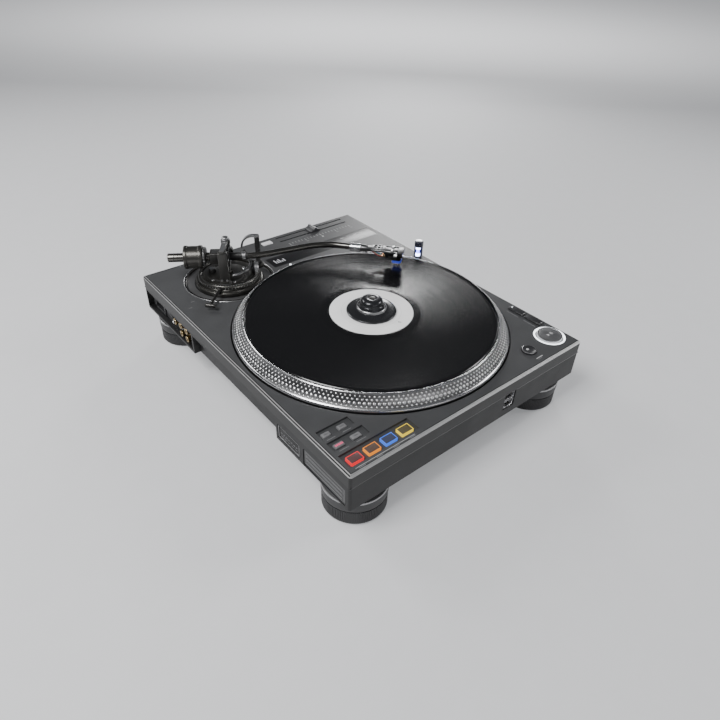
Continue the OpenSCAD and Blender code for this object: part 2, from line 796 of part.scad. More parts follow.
// Cap of the pitch fader, on two legs that run in the slots.
module pitch_fader() {
  mid_y = (fader_slot_y[0] + fader_slot_y[1]) / 2;
  low = 0.6;
  deck() color("#2a2b2d") {
    translate([fader_cap_x, mid_y + 9, 0]) rotate([90, 0, 0]) linear_extrude(18)
      polygon([[-9, low], [9, low], [7.5, 3.2], [1.2, 6.6], [-1.2, 6.6], [-7.5, 3.2]]);
    for (y = fader_slot_y) block([fader_cap_x - 5, y - 1, -10], [fader_cap_x + 5, y + 1, low + eps]);
    block([fader_cap_x - 7, fader_slot_y[0] - 4, -12], [fader_cap_x + 7, fader_slot_y[1] + 3.5, -10 + eps]);
  }
}

module start_button() {
  deck() translate([start_pos[0], start_pos[1], 0]) color("#8e8f92") {
    rod(start_r, -deck_t - 1.5, 2.2);
    translate([0, 0, 2.2 - eps]) cylinder(r1 = start_r, r2 = start_r - 0.7, h = 0.6);
    rod(start_r + 2.4, -deck_t - 3, -deck_t - 1.5 + eps);
  }
}

module power_button() {
  deck() translate([power_pos[0], power_pos[1], 0]) color("#1c1d1f") {
    rod(power_r, -deck_t - 1.5, 1.8);
    translate([0, 0, 1.8 - eps]) cylinder(r1 = power_r, r2 = power_r - 0.8, h = 0.8);
    rod(power_r + 2.5, -deck_t - 3, -deck_t - 1.5 + eps);
  }
}

// Rectangular push button centred on its place, with a flange under the deck.
module push_button(place, size, top, bottom) {
  deck() translate([place[0], place[1], 0]) {
    translate([-size[0] / 2, -size[1] / 2, bottom]) slab(size[0], size[1], top - bottom, 1);
    translate([-size[0] / 2 - 1.2, -size[1] / 2 - 1.2, bottom - 1.2]) slab(size[0] + 2.4, size[1] + 2.4, 1.2 + eps, 1);
  }
}

module speed_button(i) {
  color("#222326") push_button([speed_x, speed_y[i]], speed_size, 2.6, -deck_t - 1.6);
}

module pad(i, tint) {
  color(tint) push_button([pad_first[0] + i * pad_pitch, pad_first[1]], [pad_w, pad_d], 0.6, -6.8);
}

module function_button(i) {
  color("#9b9c9f") push_button(function_pos[i], function_size[i], -0.2, -deck_t - 1.6);
}

module pitch_reset_button() {
  color("#e9e9ea") push_button(reset_pos, reset_size, 1.6, -deck_t - 1.6);
}

// Pop-up lamp: a tube with a window towards the record and a lit core.
module target_lamp() {
  aim = atan2(platter_y - lamp_pos[1], platter_x - lamp_pos[0]);
  deck() translate([lamp_pos[0], lamp_pos[1], 0]) rotate([0, 0, aim]) color("#2a3df0") difference() {
    union() {
      rod(lamp_r, -8, lamp_h - 0.8);
      translate([0, 0, lamp_h - 0.8 - eps]) cylinder(r1 = lamp_r, r2 = lamp_r - 0.8, h = 0.8 + eps);
    }
    block([1.5, -lamp_r - 1, lamp_window[0]], [lamp_r + 1, lamp_r + 1, lamp_window[1]]);
  }
}

// Height-adjustable foot on its screw.
module foot(i) {
  p = foot_places()[i];
  deck() translate([p[0], p[1], 0]) color("#2b2b2d") {
    rotate_extrude($fn = 96) polygon([
      [0, -deck_h], [foot_r - 2.5, -deck_h], [foot_r - 0.8, -deck_h + 1.7], [foot_r - 0.8, foot_grip_z],
      [foot_r - 0.4, foot_grip_z + 0.6], [foot_r, foot_ring_z - 1.2], [foot_r, foot_ring_z],
      [foot_r - 1.2, foot_ring_z + 1], [foot_r - 3, foot_ring_z + 1], [foot_r - 5, foot_top], [0, foot_top]
    ]);
    rod(4, foot_top - eps, -top_h - 8);
  }
}

top_case();
lower_case();
bottom_cover();
connector_panel();
signal_sockets();
power_inlet();
side_panels();
usb_ports();
display_window();
status_lights();
motor_stator();
bearing_housing();
main_board();
power_supply();
platter();
rotor_magnet();
spindle();
slipmat();
record();
record_label();
record_clamp();
height_ring();
arm_base();
height_lock_knob();
yoke();
arm_rest();
rest_clip();
cue_lever();
lift_platform();
antiskate_dial();
gimbal();
arm_tube();
rear_stub();
counterweight();
force_dial();
locking_collar();
headshell();
cartridge();
stylus();
pitch_fader();
start_button();
power_button();
speed_button(0);  // speed_button_low
speed_button(1);  // speed_button_high
pad(0, "#c8232c");  // pad_1
pad(1, "#f08a24");  // pad_2
pad(2, "#3a6fe0");  // pad_3
pad(3, "#f2c936");  // pad_4
function_button(0);  // function_button_1
function_button(1);  // function_button_2
function_button(2);  // function_button_3
function_button(3);  // function_button_4
pitch_reset_button();
target_lamp();
foot(0);  // foot_fl
foot(1);  // foot_fr
foot(2);  // foot_bl
foot(3);  // foot_br
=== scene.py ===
"""Direct-drive record player with an S-shaped tonearm: finished meshes, finishes, camera and light.

Lengths are millimetres in the deck's own coordinates (x right and y back from the front left
corner, z up from the deck's top face) until a shape is built, when they become metres.
"""
import logging
import math
from dataclasses import dataclass, field
from enum import Enum

import bmesh
import bpy
from mathutils import Matrix, Vector


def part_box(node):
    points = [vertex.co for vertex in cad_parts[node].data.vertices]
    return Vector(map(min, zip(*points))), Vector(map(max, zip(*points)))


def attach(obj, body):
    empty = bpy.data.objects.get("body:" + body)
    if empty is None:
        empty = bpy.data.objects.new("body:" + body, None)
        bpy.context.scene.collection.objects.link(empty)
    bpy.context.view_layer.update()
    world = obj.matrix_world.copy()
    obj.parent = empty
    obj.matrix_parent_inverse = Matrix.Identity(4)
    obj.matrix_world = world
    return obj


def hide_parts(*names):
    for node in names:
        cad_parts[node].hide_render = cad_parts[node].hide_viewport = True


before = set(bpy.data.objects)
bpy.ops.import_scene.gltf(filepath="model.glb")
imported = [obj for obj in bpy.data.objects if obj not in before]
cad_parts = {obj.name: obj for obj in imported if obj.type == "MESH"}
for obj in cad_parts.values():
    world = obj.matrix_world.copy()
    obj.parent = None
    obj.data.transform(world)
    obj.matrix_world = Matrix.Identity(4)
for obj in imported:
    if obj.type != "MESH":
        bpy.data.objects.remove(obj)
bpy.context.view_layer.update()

LOG = logging.getLogger("record_player")
Point = tuple[float, float]
Point3 = tuple[float, float, float]


# ---------------------------------------------------------------- places

def cad_box(node: str) -> tuple[Vector, Vector]:
    """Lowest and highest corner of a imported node, in deck millimetres."""
    low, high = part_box(node)
    inverse = DECK.inverted()
    return inverse @ Vector(low), inverse @ Vector(high)


def deck_frame() -> Matrix:
    """Matrix from deck millimetres to the row frame's metres."""
    low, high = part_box("top_case")
    return Matrix.Translation((low[0], low[1], high[2])) @ Matrix.Scale(0.001, 4)


DECK = deck_frame()


def turn(angle: float, axis: str = "Z") -> Matrix:
    """Turn by an angle in degrees about an axis."""
    return Matrix.Rotation(math.radians(angle), 4, axis)


def shift(x: float, y: float, z: float = 0.0) -> Matrix:
    """Move by x, y, z."""
    return Matrix.Translation((x, y, z))


LEVEL_X = turn(90, "Y")          # turns a shape made along +Z to lie along +X


# ---------------------------------------------------------------- finishes

class Nodes:
    """Small helper that adds linked nodes to a material's tree."""

    def __init__(self, material: bpy.types.Material) -> None:
        """Args:
            material: the material whose tree is filled.
        """
        material.use_nodes = True
        self.tree = material.node_tree
        self.tree.nodes.clear()
        self.out = self.tree.nodes.new("ShaderNodeOutputMaterial")
        self.shader = self.tree.nodes.new("ShaderNodeBsdfPrincipled")
        self.tree.links.new(self.shader.outputs[0], self.out.inputs[0])
        self.place = self.tree.nodes.new("ShaderNodeTexCoord").outputs["Object"]

    def add(self, kind: str, **settings: object) -> bpy.types.Node:
        """Adds a node and sets its properties."""
        node = self.tree.nodes.new(kind)
        for key, value in settings.items():
            setattr(node, key, value)
        return node

    def put(self, value: object, socket: bpy.types.NodeSocket) -> None:
        """Links a socket to an input, or sets a plain value on it."""
        if isinstance(value, bpy.types.NodeSocket):
            self.tree.links.new(value, socket)
        else:
            socket.default_value = value

    def math(self, operation: str, a: object, b: object = 0.0, clamp: bool = False) -> bpy.types.NodeSocket:
        """One math node of two values.

        Returns:
            Its output socket.
        """
        node = self.add("ShaderNodeMath", operation=operation, use_clamp=clamp)
        self.put(a, node.inputs[0])
        self.put(b, node.inputs[1])
        return node.outputs[0]

    def mix(self, amount: object, a: object, b: object) -> bpy.types.NodeSocket:
        """Colour mix of a and b.

        Returns:
            The mixed colour's socket.
        """
        node = self.add("ShaderNodeMix", data_type="RGBA")
        self.put(amount, node.inputs[0])
        self.put(a, node.inputs[6])
        self.put(b, node.inputs[7])
        return node.outputs[2]

    def noise(self, scale: float, detail: float = 3.0, stretch: Point3 = (1, 1, 1)) -> bpy.types.NodeSocket:
        """Noise in object coordinates.

        Args:
            scale: noise cells per metre.
            detail: octaves.
            stretch: scale along each axis.

        Returns:
            The value's socket.
        """
        mapping = self.add("ShaderNodeMapping")
        mapping.inputs["Scale"].default_value = stretch
        self.put(self.place, mapping.inputs["Vector"])
        node = self.add("ShaderNodeTexNoise")
        self.put(mapping.outputs[0], node.inputs["Vector"])
        node.inputs["Scale"].default_value = scale
        node.inputs["Detail"].default_value = detail
        return node.outputs["Fac"]

    def range(self, value: object, low: float, high: float, to_low: float,
              to_high: float) -> bpy.types.NodeSocket:
        """Map Range from one span to another, clamped."""
        node = self.add("ShaderNodeMapRange")
        self.put(value, node.inputs[0])
        for i, number in enumerate((low, high, to_low, to_high)):
            node.inputs[i + 1].default_value = number
        return node.outputs[0]

    def bump(self, height: object, strength: float, distance: float,
             under: object = None) -> bpy.types.NodeSocket:
        """Bump normal from a height socket."""
        node = self.add("ShaderNodeBump")
        node.inputs["Strength"].default_value = strength
        node.inputs["Distance"].default_value = distance
        self.put(height, node.inputs["Height"])
        if under is not None:
            self.put(under, node.inputs["Normal"])
        return node.outputs[0]

    def radius_from(self, centre: Point3) -> tuple[bpy.types.NodeSocket, bpy.types.NodeSocket]:
        """Vector and distance from an upright axis.

        Args:
            centre: a point of the axis in metres.

        Returns:
            The level vector from the axis, and its length.
        """
        away = self.add("ShaderNodeVectorMath", operation="SUBTRACT")
        self.put(self.place, away.inputs[0])
        away.inputs[1].default_value = centre
        flat = self.add("ShaderNodeVectorMath", operation="MULTIPLY")
        self.put(away.outputs[0], flat.inputs[0])
        flat.inputs[1].default_value = (1, 1, 0)
        length = self.add("ShaderNodeVectorMath", operation="LENGTH")
        self.put(flat.outputs[0], length.inputs[0])
        return flat.outputs[0], length.outputs["Value"]


@dataclass(frozen=True)
class Finish:
    """A plain finish: paint, metal or plastic with fine grain and uneven gloss.

    Attributes:
        name: name of the material.
        colour: base colour.
        metallic: 0 for plastic and paint, 1 for metal.
        roughness: mean roughness.
        grain: grain cells per metre.
        bump: depth of the grain in metres.
        vary: how far colour and gloss vary.
        coat: weight of the clear coat.
        glow: colour of the light given off, if any.
        power: strength of that light.
        clear: share of light let through.
    """
    name: str
    colour: Point3
    metallic: float = 0.0
    roughness: float = 0.4
    grain: float = 2500.0
    bump: float = 0.00002
    vary: float = 0.12
    coat: float = 0.0
    glow: Point3 | None = None
    power: float = 0.0
    clear: float = 0.0

    def material(self) -> bpy.types.Material:
        """The finish's material, made once."""
        found = bpy.data.materials.get(self.name)
        if found:
            return found
        material = bpy.data.materials.new(self.name)
        nodes = Nodes(material)
        self.dress(nodes)
        return material

    def dress(self, nodes: Nodes) -> None:
        """Fills the material's tree.

        Args:
            nodes: helper on the empty tree.
        """
        shader = nodes.shader
        shader.inputs["Metallic"].default_value = self.metallic
        shader.inputs["Coat Weight"].default_value = self.coat
        shader.inputs["Coat Roughness"].default_value = 0.08
        shader.inputs["Transmission Weight"].default_value = self.clear
        broad = nodes.noise(38.0, 2.0)
        fine = nodes.noise(self.grain, 4.0)
        dark = tuple(c * (1 - self.vary) for c in self.colour) + (1.0,)
        light = tuple(min(1.0, c * (1 + self.vary)) for c in self.colour) + (1.0,)
        nodes.put(nodes.mix(nodes.range(broad, 0.3, 0.7, 0, 1), dark, light), shader.inputs["Base Color"])
        uneven = nodes.math("ADD", nodes.math("MULTIPLY", broad, 0.5), nodes.math("MULTIPLY", fine, 0.5))
        low = max(0.02, self.roughness * (1 - self.vary))
        high = min(1.0, self.roughness * (1 + self.vary))
        nodes.put(nodes.range(uneven, 0.3, 0.7, low, high), shader.inputs["Roughness"])
        nodes.put(nodes.bump(fine, 0.5, self.bump), shader.inputs["Normal"])
        if self.glow:
            shader.inputs["Emission Color"].default_value = self.glow + (1.0,)
            shader.inputs["Emission Strength"].default_value = self.power


@dataclass(frozen=True)
class DeckPaintWithPaintedLight(Finish):
    """Satin deck paint with painted light: painted highlights on the rims of the bevel round the top edge and
    over the whole front bevel, painted shade on the bevel between them and as a dark line for the groove inside
    it, and near-black below the top face, partly the case walls' own dark and partly painted shade in the wells
    and recesses.

    Attributes:
        bevel: width of the bevel in metres.
        half: half the case's width and depth in metres.
        top: height of the deck in metres.
    """
    bevel: float = 0.0024
    half: Point = (0.1765, 0.2265)
    top: float = 0.088

    def dress(self, nodes: Nodes) -> None:
        """Adds the painted highlights and painted shade of the bevel and the groove, and the near-black below the
        top, to the plain finish.
        """
        super().dress(nodes)
        split = nodes.add("ShaderNodeSeparateXYZ")
        nodes.put(nodes.place, split.inputs[0])
        inset = []
        for axis, half in zip((0, 1), self.half):
            inset.append(nodes.math("SUBTRACT", half, nodes.math("ABSOLUTE", split.outputs[axis])))
        edge = nodes.math("MINIMUM", inset[0], inset[1])
        high = nodes.math("GREATER_THAN", split.outputs[2], self.top - self.bevel - 0.0003)

        def band(start: float, stop: float) -> bpy.types.NodeSocket:
            """Share of a strip between two distances from the case's edge."""
            inside = nodes.math("MULTIPLY", nodes.math("GREATER_THAN", edge, start),
                                nodes.math("LESS_THAN", edge, stop))
            return nodes.math("MULTIPLY", inside, high)

        # Painted highlights: bright, metallic lines on the outer and inner rims of the bevel. Painted shade: the
        # bevel between them, and a dark line for the groove just inside it.
        lines = nodes.math("MAXIMUM", band(-0.001, 0.0007), band(self.bevel - 0.0006, self.bevel + 0.0001))
        dark = nodes.math("MAXIMUM", band(0.0008, self.bevel - 0.0007),
                          band(self.bevel + 0.0006, self.bevel + 0.0012))
        shader = nodes.shader
        paint = shader.inputs["Base Color"].links[0].from_socket
        # Near-black below the top face: partly the case walls' own dark, partly painted shade on the walls and
        # floors of the wells and recesses.
        paint = nodes.mix(high, (0.006, 0.006, 0.006, 1.0), paint)
        # Painted highlight over the whole front bevel, the side the light falls on; no painted shade there.
        front = nodes.math("MULTIPLY", nodes.math("LESS_THAN", inset[1], self.bevel * 0.7), high)
        lines = nodes.math("MAXIMUM", lines, front)
        dark = nodes.math("SUBTRACT", dark, front, True)
        bright = nodes.mix(lines, paint, (0.5, 0.5, 0.5, 1.0))
        nodes.put(nodes.mix(dark, bright, (0.012, 0.012, 0.012, 1.0)), shader.inputs["Base Color"])
        nodes.put(nodes.math("MULTIPLY", lines, 0.85), shader.inputs["Metallic"])


@dataclass(frozen=True)
class TurnedFinish(Finish):
    """Metal turned on a lathe about an upright axis: fine rings and a stretched gloss.

    Attributes:
        centre: a point on the axis, in metres.
        pitch: spacing of the rings in metres.
        depth: their depth in metres.
        stretch: anisotropy of the gloss.
    """
    centre: Point3 = (0.0, 0.0, 0.0)
    pitch: float = 0.0006
    depth: float = 0.00001
    stretch: float = 0.6

    def dress(self, nodes: Nodes) -> None:
        """Adds rings and a tangent that runs round the axis."""
        super().dress(nodes)
        away, length = nodes.radius_from(self.centre)
        tangent = nodes.add("ShaderNodeVectorMath", operation="CROSS_PRODUCT")
        tangent.inputs[0].default_value = (0, 0, 1)
        nodes.put(away, tangent.inputs[1])
        unit = nodes.add("ShaderNodeVectorMath", operation="NORMALIZE")
        nodes.put(tangent.outputs[0], unit.inputs[0])
        nodes.shader.inputs["Anisotropic"].default_value = self.stretch
        nodes.put(unit.outputs[0], nodes.shader.inputs["Tangent"])
        wave = nodes.math("SINE", nodes.math("MULTIPLY", length, 2 * math.pi / self.pitch))
        under = nodes.shader.inputs["Normal"].links[0].from_socket
        nodes.put(nodes.bump(wave, 0.6, self.depth, under), nodes.shader.inputs["Normal"])


@dataclass(frozen=True)
class VinylFinish(TurnedFinish):
    """Record: grooved bands of slightly different gloss, with smooth gaps between the tracks.

    Attributes:
        gaps: radii of the gaps in metres.
        inner: radius of the last groove in metres.
        outer: radius of the first groove in metres.
    """
    gaps: tuple[float, ...] = (0.0735, 0.09, 0.1062, 0.1228, 0.1364)
    inner: float = 0.0605
    outer: float = 0.1474

    def dress(self, nodes: Nodes) -> None:
        """Adds the tracks, gaps and run-out to the turned finish."""
        super().dress(nodes)
        _, length = nodes.radius_from(self.centre)
        smooth = nodes.math("ADD", nodes.math("LESS_THAN", length, self.inner),
                            nodes.math("GREATER_THAN", length, self.outer))
        for gap in self.gaps:
            near = nodes.math("COMPARE", length, gap)
            near.node.inputs[2].default_value = 0.0005
            smooth = nodes.math("MAXIMUM", smooth, near)
        share = nodes.math("FRACT", nodes.math("DIVIDE", length, 0.0062))
        smooth = nodes.math("MAXIMUM", smooth,
                            nodes.math("MULTIPLY", nodes.math("LESS_THAN", share, 0.14), 0.7))
        bands = nodes.add("ShaderNodeTexNoise", noise_dimensions="1D")
        nodes.put(length, bands.inputs["W"])
        bands.inputs["Scale"].default_value = 900.0
        bands.inputs["Detail"].default_value = 5.0
        rough = nodes.range(bands.outputs["Fac"], 0.3, 0.7, self.roughness * 0.8, self.roughness * 1.25)
        mixed = nodes.math("SUBTRACT", rough, nodes.math("MULTIPLY", smooth, self.roughness * 0.45))
        nodes.put(mixed, nodes.shader.inputs["Roughness"])


# Materials that more than one sub-assembly uses.
DECK_PAINT_AND_PAINTED_LIGHT = DeckPaintWithPaintedLight("deck_paint_and_painted_light", (0.05, 0.051, 0.053), roughness=0.44, grain=5200, bump=0.00004,
                        vary=0.06)
BLACK_CASE = Finish("black_case", (0.005, 0.005, 0.0055), roughness=0.5, grain=3000, bump=0.00006)
BLACK_GLOSS = Finish("black_gloss", (0.004, 0.004, 0.005), roughness=0.12, coat=0.6, bump=0.000004, vary=0.08)
DISPLAY_GLASS = Finish("display_glass", (0.004, 0.004, 0.005), 0.0, 0.34, 1800, 0.000004, vary=0.05)
DARK_METAL = Finish("dark_metal", (0.05, 0.049, 0.047), 0.8, 0.34, 2600, 0.000015)
BRONZE = Finish("bronze_grey", (0.1, 0.098, 0.091), 0.9, 0.3, 2400, 0.000012)
BLACK_METAL = Finish("black_metal", (0.014, 0.014, 0.015), 0.35, 0.28, 2600, 0.000012, coat=0.15)
SATIN_METAL = Finish("satin_metal", (0.36, 0.36, 0.365), 0.95, 0.32, 2200, 0.00001)
BRIGHT_METAL = Finish("bright_metal", (0.72, 0.72, 0.73), 1.0, 0.16, 1800, 0.000004, vary=0.06)
GOLD = Finish("gold_plate", (0.3, 0.22, 0.1), 1.0, 0.24, 1800, 0.000004, vary=0.08)
COPPER = Finish("copper_wire", (0.8, 0.42, 0.24), 1.0, 0.25, 1800, 0.000004)
RUBBER = Finish("foot_rubber", (0.035, 0.035, 0.036), 0.0, 0.5, 2600, 0.00005, vary=0.2)
KEY_GREY = Finish("key_grey", (0.17, 0.17, 0.175), 0.0, 0.38, 3000, 0.00002)
KEY_DARK = Finish("key_dark", (0.022, 0.022, 0.024), 0.0, 0.36, 3000, 0.00002)
KEY_WHITE = Finish("key_white", (0.74, 0.74, 0.75), 0.0, 0.4, 3000, 0.00002, vary=0.05)
PRINT = Finish("white_print", (0.5, 0.5, 0.5), 0.0, 0.5, 2600, 0.000003, vary=0.04)
PRINT_DIM = Finish("grey_print", (0.16, 0.16, 0.165), 0.0, 0.5, 2600, 0.000003, vary=0.04)
PAPER = Finish("label_paper", (0.9, 0.9, 0.9), 0.0, 0.62, 4200, 0.00002, vary=0.03)
WHITE_LIGHT = Finish("white_light", (0.9, 0.93, 1.0), 0.0, 0.3, glow=(0.92, 0.96, 1.0), power=3.2)
DISPLAY_LIGHT = Finish("display_light", (0.5, 0.5, 0.52), 0.0, 0.3, glow=(0.9, 0.94, 1.0), power=0.5)
RED_LIGHT = Finish("red_light", (0.5, 0.05, 0.1), 0.0, 0.3, glow=(1.0, 0.16, 0.3), power=1.2)
BLUE_LIGHT = Finish("blue_light", (0.2, 0.25, 0.9), 0.0, 0.2, glow=(0.16, 0.2, 1.0), power=7.0)
BLUE_CORE = Finish("blue_core", (0.7, 0.75, 1.0), 0.0, 0.2, glow=(0.55, 0.62, 1.0), power=14.0)


# ---------------------------------------------------------------- shapes

def rounded(points: list[Point], radius: float, steps: int = 4, closed: bool = False) -> list[Point]:
    """Rounds the corners of a line of points.

    Args:
        points: the corners.
        radius: radius of the rounding, less where the sides are short.
        steps: points on each arc, less one.
        closed: whether the last point joins the first.

    Returns:
        The rounded line.
    """
    out: list[Point] = []
    count = len(points)
    for i, here in enumerate(points):
        if not closed and i in (0, count - 1):
            out.append(here)
            continue
        a = Vector(points[i - 1]) - Vector(here)
        b = Vector(points[(i + 1) % count]) - Vector(here)
        angle = a.angle(b) if a.length and b.length else math.pi
        if angle > math.radians(172):
            out.append(here)
            continue
        cut = min(radius / math.tan(angle / 2), 0.45 * a.length, 0.45 * b.length)
        start, end = Vector(here) + a.normalized() * cut, Vector(here) + b.normalized() * cut
        for k in range(steps + 1):
            t = k / steps
            p = (1 - t) ** 2 * start + 2 * t * (1 - t) * Vector(here) + t * t * end
            out.append((p.x, p.y))
    return out


class Shape:
    """A mesh under construction in deck millimetres, with a material for each of its pieces."""

    def __init__(self, name: str, place: Matrix | None = None) -> None:
        """Args:
            name: name of the finished object.
            place: where the shape's own coordinates lie on the deck.
        """
        self.name = name
        self.place = place or Matrix()
        self.bm = bmesh.new()
        self.materials: list[bpy.types.Material] = []

    def index(self, finish: Finish) -> int:
        """Slot number of a finish, added if it is new."""
        material = finish.material()
        if material not in self.materials:
            self.materials.append(material)
        return self.materials.index(material)

    def absorb(self, part: bmesh.types.BMesh, finish: Finish, at: Matrix | None = None) -> None:
        """Adds a finished part and frees it.

        Args:
            part: the part.
            finish: its finish.
            at: its place in the shape's coordinates.
        """
        number = self.index(finish)
        if at is not None:
            part.transform(at)
        bmesh.ops.recalc_face_normals(part, faces=part.faces)
        for face in part.faces:
            face.material_index = number
            face.smooth = True
        mesh = bpy.data.meshes.new("part")
        part.to_mesh(mesh)
        part.free()
        self.bm.from_mesh(mesh)
        bpy.data.meshes.remove(mesh)

    def revolve(self, profile: list[Point], finish: Finish, segments: int = 96, at: Matrix | None = None,
                closed: bool = False) -> None:
        """Turns a profile about Z.

        Args:
            profile: radius and height of each point.
            finish: finish of the part.
            segments: facets round the axis.
            at: place in the shape's coordinates.
            closed: whether the last point joins the first.
        """
        part = bmesh.new()
        rings = []
        for r, z in profile:
            if r < 1e-6:
                rings.append([part.verts.new((0, 0, z))])
                continue
            turns = [2 * math.pi * i / segments for i in range(segments)]
            rings.append([part.verts.new((r * math.cos(t), r * math.sin(t), z)) for t in turns])
        pairs = list(zip(rings, rings[1:])) + ([(rings[-1], rings[0])] if closed else [])
        for a, b in pairs:
            for i in range(segments):
                j = (i + 1) % segments
                if len(a) == 1 and len(b) == 1:
                    continue
                if len(a) == 1:
                    part.faces.new((a[0], b[i], b[j]))
                elif len(b) == 1:
                    part.faces.new((a[i], a[j], b[0]))
                else:
                    part.faces.new((a[i], a[j], b[j], b[i]))
        self.absorb(part, finish, at)

    def disc(self, r: float, z0: float, z1: float, finish: Finish, edge: float = 0.3, segments: int = 64,
             at: Matrix | None = None) -> None:
        """Solid disc with rounded edges between two heights."""
        self.revolve(rounded([(0, z0), (r, z0), (r, z1), (0, z1)], edge, 3), finish, segments, at)

    def ring(self, r_in: float, r_out: float, z0: float, z1: float, finish: Finish, edge: float = 0.2,
             segments: int = 96, at: Matrix | None = None) -> None:
        """Ring with rounded edges between two heights."""
        corners = [(r_in, z0), (r_out, z0), (r_out, z1), (r_in, z1)]
        self.revolve(rounded(corners, edge, 3, True), finish, segments, at, True)

    def prism(self, outline: list[Point], z0: float, z1: float, finish: Finish, edge: float = 0.3,
              at: Matrix | None = None) -> None:
        """Upright prism with bevelled edges.

        Args:
            outline: its corners seen from above, anticlockwise.
            z0: its lower face.
            z1: its upper face.
            finish: finish of the part.
            edge: width of the bevel.
            at: place in the shape's coordinates.
        """
        part = bmesh.new()
        face = part.faces.new([part.verts.new((x, y, z0)) for x, y in outline])
        pushed = bmesh.ops.extrude_face_region(part, geom=[face])["geom"]
        bmesh.ops.translate(part, verts=[v for v in pushed if isinstance(v, bmesh.types.BMVert)],
                            vec=(0, 0, z1 - z0))
        bmesh.ops.recalc_face_normals(part, faces=part.faces)
        if edge:
            sharp = [e for e in part.edges if e.calc_face_angle(0) > math.radians(25)]
            bmesh.ops.bevel(part, geom=sharp, offset=edge, segments=3, profile=0.5, affect="EDGES",
                            clamp_overlap=True)
        self.absorb(part, finish, at)

    def box(self, low: Point3, high: Point3, finish: Finish, edge: float = 0.3,
            at: Matrix | None = None) -> None:
        """Box from one corner to the other, with bevelled edges."""
        outline = [(low[0], low[1]), (high[0], low[1]), (high[0], high[1]), (low[0], high[1])]
        self.prism(outline, low[2], high[2], finish, edge, at)

    def tube(self, path: list[Point3], radius: float, finish: Finish, segments: int = 24,
             at: Matrix | None = None) -> None:
        """Round bar or wire along a path, closed at both ends.

        Args:
            path: its centre line.
            radius: its radius.
            finish: finish of the part.
            segments: facets round it.
            at: place in the shape's coordinates.
        """
        part = bmesh.new()
        points = [Vector(p) for p in path]
        ways = [(b - a).normalized() for a, b in zip(points, points[1:])]
        side = ways[0].orthogonal().normalized()
        rings = []
        for i, p in enumerate(points):
            way = (ways[max(i - 1, 0)] + ways[min(i, len(ways) - 1)]).normalized()
            side = (side - way * side.dot(way)).normalized()
            other = way.cross(side)
            turns = [2 * math.pi * k / segments for k in range(segments)]
            rings.append([part.verts.new(p + radius * (math.cos(t) * side + math.sin(t) * other)) for t in turns])
        for a, b in zip(rings, rings[1:]):
            for k in range(segments):
                j = (k + 1) % segments
                part.faces.new((a[k], a[j], b[j], b[k]))
        part.faces.new(rings[0][::-1])
        part.faces.new(rings[-1])
        self.absorb(part, finish, at)

    def array(self, array: "Repeat", finish: Finish, at: Matrix | None = None) -> None:
        """Adds what a geometry-nodes array makes."""
        mesh = array.mesh(finish)
        part = bmesh.new()
        part.from_mesh(mesh)
        bpy.data.meshes.remove(mesh)
        self.absorb(part, finish, at)

    def build(self, body: str, *nodes: str, slot: str, sharp: float = 34.0) -> bpy.types.Object:
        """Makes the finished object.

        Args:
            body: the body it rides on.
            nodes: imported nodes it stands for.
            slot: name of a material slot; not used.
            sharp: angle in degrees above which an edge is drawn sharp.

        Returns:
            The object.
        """
        mesh = bpy.data.meshes.new(self.name)
        self.bm.to_mesh(mesh)
        self.bm.free()
        for material in self.materials:
            mesh.materials.append(material)
        mesh.transform(DECK @ self.place)
        mesh.set_sharp_from_angle(angle=math.radians(sharp))
        made = bpy.data.objects.new(self.name, mesh)
        bpy.context.scene.collection.objects.link(made)
        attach(made, body)
        if nodes:
            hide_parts(*nodes)
        LOG.info("%s rides on %s: %d faces", self.name, body, len(mesh.polygons))
        return made


class Stamp(Enum):
    """Shape that an array repeats."""
    STUD = "GeometryNodeMeshCylinder"
    RIB = "GeometryNodeMeshCube"
    DOME = "GeometryNodeMeshIcoSphere"


